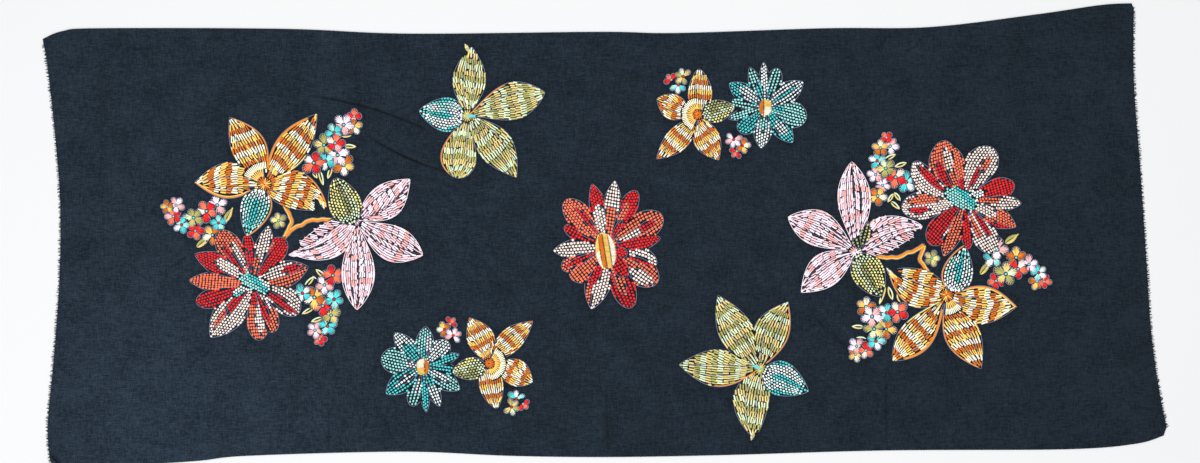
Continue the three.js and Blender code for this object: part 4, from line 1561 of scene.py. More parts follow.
@dataclass
class Bud(Motif):
    """A bud of seed stitches, in rows that follow its sides."""

    length: float = 80.0
    width: float = 52.0
    kind: BudKind = BudKind.TEAL
    border: int = 0  # the side with an orange border, 1 for the left
    lean: float = 0.1  # how far the darker middle lies to the right, in half widths
    rim: Thread = FROST
    calyx: tuple[Petal, ...] = ()

    def petal(self) -> Petal:
        """The bud's shape, with its root at the motif's middle."""
        form = BLUNT if self.kind is BudKind.OLIVE else BUD
        return Petal(0, self.length, self.width, form=form)

    def shapes(self) -> list[object]:
        """The bud and its calyx."""
        return [self.petal(), *self.calyx]

    def zones(self, share: Array, t: Array, rng: Rng) -> Array:
        """The colour of each seed, from where it lies."""
        across = share + 0.06 * np.sin(9 * t)
        if self.kind is not BudKind.OLIVE:
            lobe = np.sin(np.pi * np.clip((t - 0.2) / 0.75, 0, 1)) ** 0.5
            pale = self.kind is BudKind.PALE
            reach = 0.26 if pale else 0.32 if self.lean > 0 else 0.2
            middle = (np.abs(across + self.lean) < reach * lobe) & (t > 0.2)
            outer = 1
            if self.lean < 0:
                outer = np.where(across > 0.1, 2, np.where(rng.random(len(t)) < 0.45, 2, 1))
            elif pale:
                outer = np.where(rng.random(len(t)) < 0.35, 1, 2)
            pick = np.where(t < 0.22, 2, np.where(middle, 0, outer))
            rim = (np.abs(across) > 0.8)[:, None]
            return np.where(rim, self.rim.linear, tones((TEAL, MINT, FROST))[pick])
        large = self.length > 60
        ends = (-0.62, -0.3, 0.12) if large else (-0.5, -0.24 + 0.5 * (t > 0.55), 0.9)
        zones = [t < (0.2 if large else 0.26), *(across < end for end in ends)]
        pick = np.select(zones, [3, 0, 3, 1], 0)
        pick = np.where((pick == 0) & (rng.random(len(t)) < 0.12), 2, pick)
        return tones((LEMON, FERN, STRAW, PALE))[pick]

    def work(self, rng: Rng) -> Work:
        """The seeds, the outline and the border."""
        petal = self.petal()
        olive = BUD_SEED if self.length > 60 else FINE_SEED
        fill = olive if self.kind is BudKind.OLIVE else LONG_SEED if self.rim is FROST else FULL_SEED
        rows = petal.filled(fill, petal.staggered(fill), rng)
        level = petal.row(1.0, rows.t, fill.gather) / np.maximum(petal.half(rows.t), 1)
        rows.stitches.colour = varied(self.zones(rows.share * level, rows.t, rng), rng)
        keep = np.ones(len(rows.t), bool)
        work = Work()
        if self.border:
            off = petal.half(rows.t) - self.border * petal.row(rows.share, rows.t, fill.gather)
            keep = off > 3.4
            line = stepped(petal.side(self.border, 0.05, 1.0, 1.6), LINE_STEP)
            work.cords.append(Cord(line, ORANGE, 2.1, 0.75, 0.5))
        work.stitches.append(rows.stitches.kept(keep))
        work.cords += both_sides(petal, 0.01)
        for number, sepal in enumerate(self.calyx):
            over = [petal, *self.calyx[:number]]
            own = sepal.filled(fill, sepal.staggered(fill), rng)
            pick = np.where(own.share < 0, 1, 0) if number == 0 else own.number * 0
            own.stitches.colour = varied(tones((FERN, LEMON))[pick], rng)
            work.stitches.append(own.stitches.trimmed(lambda at: deepest(at, over) < -1, 0.5))
            for cord in both_sides(sepal, 0.01):
                work.cords += couched(cord.line, deepest(cord.line, over) < 0, SLATE)
        return work


@dataclass(frozen=True)
class Blossom(Disc):
    """A small blossom: a ring of petals about a knot, which is red with teal petals and else aqua."""

    first: float | None  # the bearing of the first thread's petal, or none for any
    threads: tuple[Thread, ...]
    petals: int = 5
    gap: int = 0  # how many petals are left out, before the first
    knot: Thread | None = None  # a colour for the knot, if it is another

    def work(self, rng: Rng) -> Work:
        """Each petal is a fan of satin stitches, longest in its middle, with a thin outline.

        Stitch j of a petal points at its bearing plus a step u times 0.33 of a petal's span, and it
        reaches radius (1 - 0.26 u^2), where u goes from -1 to 1 across the petal. The outline goes
        out at u = -1.2, round the ends and back at u = 1.2.
        """
        count = 6 if self.radius > 12.4 else 5
        u = np.linspace(-1, 1, count)
        span = 360 / self.petals
        turn = rng.uniform(0, span) if self.first is None else self.first
        bearing = turn + span * np.arange(self.petals) + rng.normal(0, 3, self.petals)
        aim = unit(bearing[:, None] + u * span * 0.33)
        size = self.radius * rng.normal(1.06, 0.05, (self.petals, 1))
        far = size * (1 - 0.26 * u**2) * rng.normal(1, 0.015, (self.petals, count))
        middle = np.array([self.x, self.y])
        start = middle + aim * self.radius * 0.2
        end = middle + aim * far[..., None]
        made = self.petals - self.gap
        bearing, start, end, size = bearing[:made], start[:made], end[:made], size[:made]
        thread = tones(self.threads)[np.arange(made) % len(self.threads)]
        colour = np.repeat(thread, count, axis=0)
        wide = np.full(made * count, self.radius * 2 * math.sin(math.radians(span * 0.33)) / count * 0.95)
        ends = (start.reshape(-1, 2), end.reshape(-1, 2))
        stitches = Stitches(*ends, wide, wide * 0 + 0.95, varied(colour * 0.94, rng, 0.15), True)
        v = np.linspace(-1, 1, 7)
        rim = unit(bearing[:, None] + v * span * 0.44) * (size * (1.06 - 0.3 * v**2))[..., None]
        root = unit(bearing[:, None] + np.array([-0.3, 0.3]) * span) * self.radius * 0.3
        lines = np.concatenate([root[:, :1], rim, root[:, 1:]], 1) + middle
        cords = [Cord(stepped(line, 3.0), SLATE, 1.6, 0.8) for line in lines]
        knot = self.knot or (RED if TEAL in self.threads else AQUA)
        return Work([stitches], cords, [Knot(middle, knot, self.radius * 0.06 + 1.2)])


@dataclass(frozen=True)
class Leaf(Petal):
    """A small leaf: two long stitches or, from 10 mm wide on, many slanted ones."""

    def work(self, rng: Rng) -> Work:
        """The leaf's stitches."""
        if self.width < 10:
            lines = ((stepped(self.side(0.62), 4), PALE), (stepped(self.side(-0.62), 4), STRAW))
            return Work([], [Cord(line, thread, 3.0, 1.0, 0.2) for line, thread in lines])
        t = np.arange(0.1, 0.95, 1.9 / self.length)
        ahead = np.minimum(t + 0.16, 1)
        blocks = []
        for side, thread in ((1, OLIVE), (-1, STRAW)):
            root = self.placed(t, 0.3 * side + 0 * t)
            tip = self.placed(ahead, side * np.maximum(self.half(ahead) - 0.4, 0.6))
            colour = varied(thread.spread(len(t)), rng)
            blocks.append(Stitches(root, tip, np.full(len(t), 1.6), np.full(len(t), 0.8), colour))
        return Work(blocks)


def leaf(x: float, y: float, angle: float, length: float, width: float) -> Leaf:
    """A leaf about its middle, x and y."""
    root = np.array([x, y]) - unit(angle) * length / 2
    return Leaf(angle, length, width, 0.0, SLIM, x=root[0], y=root[1])


# Each spray's blossoms: x, y, radius, bearing, colours, petals, gap and knot.
BLOSSOMS = {
    "tall": (
        (4, 5, 16, 3, (RED, CORAL, BLUSH, RED, ROSE)),
        (2, 23, 14, -30, (TEAL, TEAL, MINT, TEAL, TEAL)),
        (-15, 2, 16, 98, (OLIVE, STRAW, OLIVE, OLIVE, OLIVE)),
        (18, 36, 17, 62, (LILAC, LILAC, ROSE, ROSE, LILAC)),
        (35, 33, 13, -55, (CREAM, GOLD, AMBER, AMBER, AMBER)),
        (36, 50, 12, 90, (CORAL, RED, ROSE, RED), 4),
        (-32, -28, 18, 4, (CORAL, RED, BLUSH, CORAL, RED)),
        (-12, -25, 15, 45, (MINT, TEAL, TEAL, FROST, TEAL)),
        (8, -15, 18, 21, (LILAC, ROSE, LILAC, ROSE, LILAC)),
        (18, -32, 17, -15, (GOLD, AMBER, AMBER, AMBER, CREAM)),
    ),
    "long": (
        (-51, 22, 11, 100, (AMBER, GOLD, AMBER, GOLD, AMBER)),
        (-36, 25, 13, 50, (LILAC, ROSE, LILAC, LILAC, ROSE)),
        (-41, 6, 14, 36, (RED, CORAL, ROSE, CORAL, RED)),
        (-27, -8, 14, 0, (MINT, TEAL, MINT, FROST, TEAL)),
        (-7, 4, 16, 114, (OLIVE, PALE, STRAW, OLIVE, OLIVE)),
        (-4, -18, 14, 0, (RED, RED, RED, RED, CORAL)),
        (15, 15, 18, 52, (RED, CORAL, BLUSH, RED, CORAL)),
        (33, 25, 16, 24, (LILAC, LILAC, LILAC, ROSE, ROSE)),
        (35, -5, 13, 20, (TEAL, MINT, TEAL, TEAL, MINT)),
        (25, -25, 16, 60, (AMBER, GOLD, CREAM, AMBER, GOLD)),
    ),
    "deep": (
        (20, 46, 16, None, (CORAL, RED)),
        (6, 30, 15, None, (ROSE, LILAC)),
        (-31, 16, 15, None, (FROST, TEAL, MINT)),
        (-11, 9, 18, None, (GOLD, AMBER, CREAM)),
        (22, 6, 16, None, (TEAL, MINT)),
        (3, -5, 16, None, (RED, ROSE, CORAL), 4),
        (17, -21, 15, None, (OLIVE, STRAW), 4),
        (11, -39, 15, None, (TEAL, MINT)),
        (-10, -46, 14, None, (ROSE, LILAC)),
        (-2, -61, 11, None, (RED, CORAL)),
    ),
    "trio west": (
        (9, 7, 13.5, 43, (STRAW, PALE, OLIVE, STRAW, OLIVE), 6, 1, RED),
        (-10.5, 1.5, 11, 62, (RED, CORAL, RED), 5, 2),
        (1, -7, 14, 146, (TEAL, MINT, FROST, TEAL), 6, 2),
    ),
    "trio east": (
        (-6, 11, 13, 138, (LILAC, ROSE, LILAC, LILAC, ROSE), 6, 1, RED),
        (9, 0.4, 12, 219, (AMBER, GOLD, CREAM, AMBER), 5, 1, RED),
        (-0.7, -8.5, 11.5, 170, (RED, CORAL, RED), 6, 3),
    ),
    "single": (
        (0, 0, 12.5, None, (OLIVE, STRAW, LEMON)),
    ),
    "tall east": (
        (-10.4, 14, 17.5, 52, (ROSE, LILAC, LILAC, ROSE, LILAC)),
        (32.3, 21.5, 17, 42, (CORAL, BLUSH, RED, CORAL, RED)),
        (-21, 30.5, 15, 10, (AMBER, CREAM, GOLD, AMBER, GOLD)),
        (13.6, 20.3, 15, 72, (TEAL, FROST, MINT, TEAL, MINT)),
        (-7, -7, 17, 34, (OLIVE, OLIVE, OLIVE, PALE, STRAW)),
        (13.2, -7.4, 15.5, -80, (AMBER, GOLD, AMBER, GOLD, GOLD)),
        (-4, -27.3, 15, 2, (MINT, TEAL, TEAL, TEAL, FROST)),
        (-20.9, -43, 13, 104, (RED, CORAL, BLUSH, CORAL, RED)),
        (-36.7, -35.9, 13.5, 55, (ROSE, LILAC, LILAC, ROSE, LILAC)),
        (-38.5, -49.5, 12, 140, (AMBER, GOLD, CREAM, GOLD, AMBER)),
    ),
    "long east": (
        (-28, 29.3, 18, 85, (ROSE, LILAC, LILAC, ROSE), 4),
        (-14.2, -11.6, 18, 15, (PALE, STRAW, OLIVE, STRAW, OLIVE)),
        (6.4, -3, 16.5, -12, (CORAL, BLUSH, RED, RED, RED)),
        (3.4, 16, 16.5, 20, (AMBER, GOLD, AMBER, AMBER, AMBER)),
        (25, 4.5, 14, 20, (LILAC, ROSE, LILAC, ROSE, LILAC)),
        (41.3, -9.4, 14, 35, (FROST, TEAL, TEAL, MINT, FROST)),
        (50.3, -24.4, 11.5, -8, (CORAL, RED, CORAL, CORAL, RED)),
        (38.3, -24.4, 13, 172, (AMBER, GOLD, AMBER, GOLD, GOLD)),
        (-35, 15.4, 15, 20, (TEAL, TEAL, TEAL, FROST, MINT)),
        (-30.4, -23.2, 14, 50, (RED, RED, CORAL, RED, RED)),
    ),
    "deep east": (
        (-2.6, 5.7, 15, 40, (OLIVE, PALE, STRAW, OLIVE, OLIVE)),
        (14, -9.2, 17, 45, (BLUSH, CORAL, RED, CORAL, RED)),
        (-11.5, 40, 13.5, 18, (GOLD, CREAM, GOLD, AMBER, AMBER)),
        (-1.4, 57.5, 10.5, 40, (RED, CORAL, RED, RED), 4),
        (5, 43, 14, -10, (LILAC, ROSE, ROSE, LILAC, LILAC)),
        (-17, 18.5, 14, 20, (MINT, TEAL, FROST, TEAL, MINT)),
        (-19.8, -4.8, 13.5, 20, (ROSE, ROSE, LILAC, LILAC, ROSE)),
        (32, -17.5, 16.5, 20, (MINT, TEAL, TEAL, TEAL, FROST)),
        (-16, -40.8, 15, 60, (GOLD, AMBER, GOLD, AMBER, CREAM)),
        (-7.8, -22.8, 13, 60, (LILAC, LILAC, ROSE, ROSE, LILAC)),
    ),
}
# Each spray's leaves: x, y, angle, length and width.
LEAVES = {
    "tall": (
        (21, 18, 0, 20, 8), (28, 0, -5, 22, 8), (-31, -46, -60, 18, 8),
        (-20, -51, -75, 30, 8), (-5, -44, 72, 22, 8),
    ),
    "long": ((51, 7, 60, 32, 12), (9, -37, 38, 34, 12)),
    "deep": (
        (0, 49, -40, 22, 9), (-20, 35, 47, 24, 9), (-9, 37, -58, 18, 9),
        (-21, -13, 28, 24, 8), (-6, -28, 20, 22, 8),
    ),
    "tall east": (
        (-33.3, -3.3, -3, 22, 8), (-27, -23.5, -12, 20, 8), (20.3, 53, -73, 23, 9.5),
        (35.6, 43.6, -62, 18, 8), (6.8, 48.8, 70, 30, 6),
    ),
    "long east": ((-5, 47, 35, 30, 13), (-49, -2, 52, 32, 12)),
    "deep east": (
        (4.2, 24.5, 26, 22, 8), (22.3, 11.8, 19, 21, 9), (16.9, -41.5, -54, 17, 8),
        (5.6, -43.8, 56, 17, 7), (12.5, -55.4, -41, 22, 8),
    ),
}
SPRAYS: dict[str, tuple[Blossom | Leaf, ...]] = {
    name: (*(Blossom(*row) for row in rows), *(leaf(*row) for row in LEAVES.get(name, ())))
    for name, rows in BLOSSOMS.items()
}


@dataclass
class Spray(Motif):
    """A spray of small blossoms and leaves."""

    parts: tuple[Blossom | Leaf, ...] = ()

    def shapes(self) -> list[object]:
        """The discs and the leaves."""
        return list(self.parts)

    def work(self, rng: Rng) -> Work:
        """Each blossom and leaf, over the ones after it."""
        work = Work()
        for number, plant in enumerate(self.parts):
            own = plant.work(rng)
            before = self.parts[:number]
            for block in own.stitches:
                work.stitches.append(block.trimmed(lambda at: deepest(at, before) < 1.2, 0.3))
            for cord in own.cords:
                seen = deepest(cord.line, before) < 0.5
                work.cords += [replace(cord, line=part) for part in runs(cord.line, seen)]
            work.knots += own.knots
        return work


CALYX = (Petal(137, 46, 16, 0.0, SLIM, x=-7, y=11), Petal(168, 22, 17, 0.0, ROUND, x=-5, y=6))
WEST_ARMS = (
    ((60, 17), (21, 17), (2, 9), (-15, 0), (-27, -13)),
    ((-27, 41), (-15, 20), (-18, 4), (-27, -13)),
)
EAST_ARMS = (
    ((-58, -8), (-21, -10), (-5, -4), (9, 1), (28, 11)),
    ((39, -39), (28, -27), (20, -12), (23, -1), (28, 11)),
)


@dataclass
class Stem(Motif):
    """A forked stem, a couched band of gold and orange."""

    arms: tuple[Points, ...] = ()
    width: float = 8.0

    def shapes(self) -> list[object]:
        """A band along each arm."""
        return [Band(arm, self.width) for arm in self.arms]

    def work(self, rng: Rng) -> Work:
        """Three cords side by side along each arm."""
        work = Work()
        for arm in self.arms:
            line = stepped(spline(arm, 8), 3.4)
            side = left_of(normalised(np.gradient(line, axis=0)))
            passed = lengths_along(line)
            wave = (0.6 * np.sin(passed / 4.1) + 0.4 * np.sin(passed / 2.3 + 1))[:, None]
            for offset, thread in ((-1.9, GOLD), (0.0, ORANGE), (1.9, ORANGE)):
                work.cords.append(Cord(line + side * (offset + wave), thread, 2.2, 0.9, 0.5))
            for offset in (-3.5, 3.5):
                work.cords.append(Cord(line + side * (offset + wave), SLATE, 1.1, 0.45))
        return work


# Each group's name and first seed, and its motifs in the order they are worked: class, name, x, y, turn
# and the class's own fields.
MOTIFS = {
    ("west", 10): (
        (Bud, "teal_bud", -576, 77, -108, 82, 52, BudKind.TEAL, 1),
        (Bud, "olive_bud", -424, 20, 111, 82, 54, BudKind.OLIVE),
        (Lily, "gold_lily", -572, 86, 0, GOLD_LILY),
        (Lily, "pink_lily", -419, 27, 0, PINK_LILY),
        (Dahlia, "red_dahlia", -591, -81, 0, RED_DAHLIA),
        (Stem, "stem", -512, 9, 0, WEST_ARMS),
        (Spray, "spray_tall", -457, 150, 0, SPRAYS["tall"]),
        (Spray, "spray_long", -684, 26, 0, SPRAYS["long"]),
        (Spray, "spray_deep", -477, -113, 0, SPRAYS["deep"]),
        (Spray, "blossom", -548, 25, 0, SPRAYS["single"]),
    ),
    ("east", 30): (
        (Bud, "teal_bud", 584, -94, 76, 80, 52, BudKind.PALE, 1),
        (Bud, "olive_bud", 425, -32, -61, 80, 54, BudKind.OLIVE, 0, 0.1, FROST, CALYX),
        (Lily, "gold_lily", 574, -100, 0, EAST_GOLD_LILY),
        (Lily, "pink_lily", 421, -28, 179, EAST_PINK_LILY),
        (Dahlia, "red_dahlia", 603, 59, 0, EAST_DAHLIA),
        (Stem, "stem", 509, -27, 0, EAST_ARMS),
        (Spray, "spray_tall", 459, -150, 0, SPRAYS["tall east"]),
        (Spray, "spray_long", 687, -53, 0, SPRAYS["long east"]),
        (Spray, "spray_deep", 474, 107, 0, SPRAYS["deep east"]),
        (Spray, "blossom", 549, -38, 180, SPRAYS["single"]),
    ),
    ("northwest", 50): (
        (Bud, "teal_bud", -239, 199, 172, 74, 57, BudKind.TEAL, 0, -0.05, TEAL),
        (Lily, "olive_lily", -232, 201, 0, OLIVE_LILY),
    ),
    ("southeast", 60): (
        (Bud, "teal_bud", 267, -227, -25, 82, 57, BudKind.TEAL, 0, -0.05, TEAL),
        (Lily, "olive_lily", 261, -224, 0, EAST_OLIVE_LILY),
    ),
    ("northeast", 70): (
        (Bud, "olive_bud", 163, 203, 14, 56, 37, BudKind.OLIVE),
        (Lily, "gold_lily", 157, 203, 0, SMALL_GOLD_LILY),
        (Dahlia, "teal_dahlia", 269, 215, 0, TEAL_DAHLIA, Centre.SMALL_SATIN, 32),
        (Spray, "trio_upper", 122, 260, 0, SPRAYS["trio west"]),
        (Spray, "trio_lower", 222, 150, 0, SPRAYS["trio east"]),
    ),
    ("southwest", 80): (
        (Bud, "olive_bud", -201, -219, 191, 56, 37, BudKind.OLIVE),
        (Lily, "gold_lily", -195, -215, 180, WEST_SMALL_LILY),
        (Dahlia, "teal_dahlia", -305.5, -220.5, 182, WEST_TEAL_DAHLIA, Centre.SMALL_SATIN, 32),
        (Spray, "trio_lower", -148, -281, 180, SPRAYS["trio west"]),
        (Spray, "trio_upper", -261, -157, 180, SPRAYS["trio east"]),
    ),
    ("middle", 90): ((Dahlia, "red_dahlia", 3, -20, 0, MIDDLE_DAHLIA, Centre.SATIN, 46),),
}


def planted(group: str, seed: int, rows: Iterable[tuple]) -> list[Motif]:
    """The motifs of a group, each with the next seed.

    Args:
        group: its name.
        seed: the first motif's seed.
        rows: the motifs' rows, whose names start with their colour, save for stems and sprays.

    Returns:
        The motifs. In a group, a later motif stops short of the earlier ones.
    """
    motifs = []
    for number, (kind, name, x, y, turn, *own) in enumerate(rows):
        colour = {Stem: "orange", Spray: "mixed"}.get(kind, name.split("_")[0])
        motifs.append(kind(f"{name}_{group}", x, y, turn, f"thread_{colour}", seed + number, *own))
    return motifs


# ---- Shader maths ----


def joined(operation: str, turned_round: bool = False) -> Callable[["Flow", "Flow | float"], "Flow"]:
    """A method that puts a flow and another value, or a value and a flow, through a Math node."""

    def method(self: "Flow", other: "Flow | float") -> "Flow":
        """The node's output."""
        pair = (other, self) if turned_round else (self, other)
        return self.shader.node("Math", {"operation": operation}, dict(enumerate(pair)))

    return method


def changed(operation: str) -> Callable[["Flow"], "Flow"]:
    """A method that puts a flow through a Math node of one input."""
    return lambda self: self.shader.node("Math", {"operation": operation}, {0: self})


class Flow:
    """A shader socket that is used in Python expressions, which add Math or Vector Math nodes."""

    __add__ = joined("ADD")
    __radd__ = joined("ADD", True)
    __sub__ = joined("SUBTRACT")
    __rsub__ = joined("SUBTRACT", True)
    __mul__ = joined("MULTIPLY")
    __rmul__ = joined("MULTIPLY", True)
    __truediv__ = joined("DIVIDE")
    __pow__ = joined("POWER")
    exponent = changed("EXPONENT")  # the number e to the power of self
    root = changed("SQRT")
    sine = changed("SINE")  # of self in radians

    def __init__(self, shader: "Shader", socket: bpy.types.NodeSocket):
        """Wraps one output socket of a shader's tree."""
        self.shader = shader
        self.socket = socket

    def dot(self, x: float, y: float) -> "Flow":
        """The dot product of a vector with a level one."""
        values = {0: self, 1: (x, y, 0)}
        return self.shader.node("VectorMath", {"operation": "DOT_PRODUCT"}, values, "Value")

    def held(self, low: float, high: float) -> "Flow":
        """Self, held between two values and stretched to 0 to 1."""
        values = {"Value": self, "From Min": low, "From Max": high}
        return self.shader.node("MapRange", {"clamp": True}, values)

    def scaled(self, factor: "Flow | float") -> "Flow":
        """A vector or colour times a number."""
        values = {0: self, "Scale": factor}
        return self.shader.node("VectorMath", {"operation": "SCALE"}, values)

    def stretched(self, x: float, y: float, z: float) -> "Flow":
        """A vector times another, part by part."""
        values = {0: self, 1: (x, y, z)}
        return self.shader.node("VectorMath", {"operation": "MULTIPLY"}, values)

    def part(self, name: str) -> "Flow":
        """One of a vector's parts, X, Y or Z."""
        return self.shader.node("SeparateXYZ", {}, {0: self}, name)


class Shader:
    """A material's node tree, with its Principled shader."""

    def __init__(self, name: str, constants: dict[str, object]):
        """Starts a material.

        Args:
            name: the material's name.
            constants: values of the Principled shader's sockets that are the same all over.
        """
        self.material = bpy.data.materials.new(name)
        self.material.use_nodes = True
        self.tree = self.material.node_tree
        self.surface = self.tree.nodes["Principled BSDF"]
        for socket, value in constants.items():
            self.surface.inputs[socket].default_value = value

    def node(self, kind: str, settings: dict, values: dict, out: str | int = 0) -> Flow:
        """Adds a node.

        Args:
            kind: the node's type, without the word that all of them begin with.
            settings: its properties, set first.
            values: its input sockets' values or links, by name or number.
            out: the output socket that is wanted.

        Returns:
            That output.
        """
        node = self.tree.nodes.new(f"ShaderNode{kind}")
        for key, setting in settings.items():
            setattr(node, key, setting)
        for key, value in values.items():
            if isinstance(value, Flow):
                self.tree.links.new(value.socket, node.inputs[key])
            else:
                node.inputs[key].default_value = value
        return Flow(self, node.outputs[out])

    def place(self) -> Flow:
        """Object coordinates, in millimetres."""
        return self.node("TexCoord", {}, {}, "Object").scaled(1 / MM)

    def noise(self, vector: Flow, scale: float = 1.0, detail: float = 2.0) -> Flow:
        """Noise from 0 to 1."""
        return self.node("TexNoise", {}, {"Vector": vector, "Scale": scale, "Detail": detail})

    def blend(self, factor: Flow, first: object, second: object) -> Flow:
        """A mix of two colours."""
        values = {0: factor, 6: first, 7: second}
        return self.node("Mix", {"data_type": "RGBA"}, values, 2)

    def bump(self, height: Flow, strength: float, distance: float) -> Flow:
        """A bump from a height."""
        values = {"Height": height, "Strength": strength, "Distance": distance}
        return self.node("Bump", {}, values)

    def feed(self, socket: str, flow: Flow):
        """Links a flow to one of the Principled shader's sockets."""
        self.tree.links.new(flow.socket, self.surface.inputs[socket])


@dataclass(frozen=True)
class WoolFinish:
    """Matt dark wool in a plain weave, with slubs both ways and a faint cloudiness."""

    dark: tuple[float, float, float] = (0.0026, 0.0066, 0.0115)
    light: tuple[float, float, float] = (0.0176, 0.0288, 0.0436)
    weave: float = 1.25  # from one yarn to the next

    def material(self) -> bpy.types.Material:
        """Makes the finish."""
        sheen = {"Sheen Weight": 0.06, "Sheen Roughness": 0.55, "Sheen Tint": (0.75, 0.86, 1.0, 1)}
        shader = Shader("wool_finish", {"Roughness": 0.9, "Specular IOR Level": 0.14, **sheen})
        place = shader.place()
        weft = shader.noise(place.stretched(0.11, 0.8, 0.4), 1.0, 3.0)
        warp = shader.noise(place.stretched(0.8, 0.11, 0.4), 1.0, 3.0)
        slub = shader.noise(place.stretched(0.04, 0.5, 0.4), 1.0, 1.0).held(0.62, 0.8)
        cloud = shader.noise(place, 0.018, 2.0)
        fluff = shader.noise(place, 0.7, 3.0)
        turn = 2 * math.pi / self.weave
        uneven = shader.noise(place, 0.22, 1.0) * 5.0
        over = (place.part("X") * turn + uneven).sine() * (place.part("Y") * turn + uneven).sine()
        tone = (weft - 0.5) * 1.9 + (warp - 0.5) * 1.65 + (cloud - 0.5) * 0.75 + (fluff - 0.5) * 1.25
        tone = (tone + slub * 0.4 + over * 0.1 + 0.44).held(0.0, 1.0)
        # Painted light and shade: the piece's painted light factor from its colour attribute, times the
        # painted shade and painted highlights of the creases.
        light = shader.node("Attribute", {"attribute_name": "thread"}, {}, "Color").part("X")
        for crease in PAINTED_CREASE_SHADES:
            light = light * crease.shade(place)
        shader.feed("Base Color", shader.blend(tone, (*self.dark, 1), (*self.light, 1)).scaled(light))
        height = over * 0.5 + (weft + warp) * 0.9 + fluff * 0.5
        shader.feed("Normal", shader.bump(height, 0.55, 0.0004))
        return shader.material


@dataclass(frozen=True)
class ThreadFinish:
    """Satin thread in the colours of the piece's own attribute, with its ply and its sheen."""

    slot: str
    roughness: float = 0.42
    ply: float = 3.0

    def material(self) -> bpy.types.Material:
        """Makes the finish."""
        sheen = {"Sheen Weight": 0.06, "Sheen Roughness": 0.4}
        shader = Shader(f"{self.slot}_finish", {"Specular IOR Level": 0.3, **sheen})
        colour = shader.node("Attribute", {"attribute_name": "thread"}, {}, "Color")
        strand = shader.node("UVMap", {"uv_map": STRAND_MAP}, {})
        across = strand.part("Y")
        turn = (across * self.ply + strand.part("X")) * (2 * math.pi)
        ply = turn.sine() * 0.5 + 0.5
        crown = across * (1 - across) * 4
        fuzz = shader.noise(shader.place(), 1.6, 2.0)
        # Painted shade: each thread is darker at its sides than along its crown, and darker in the grooves of
        # its ply. Fuzz is the thread's own uneven tone.
        shade = crown * 0.2 + ply * 0.08 + fuzz * 0.1 + 0.82
        shader.feed("Base Color", colour.scaled(shade))
        shader.feed("Roughness", self.roughness + (1 - ply) * 0.16 + fuzz * 0.1)
        shader.feed("Normal", shader.bump(ply * 0.6 + fuzz * 0.3, 0.5, 0.00025))
        return shader.material


# ---- The cloth ----


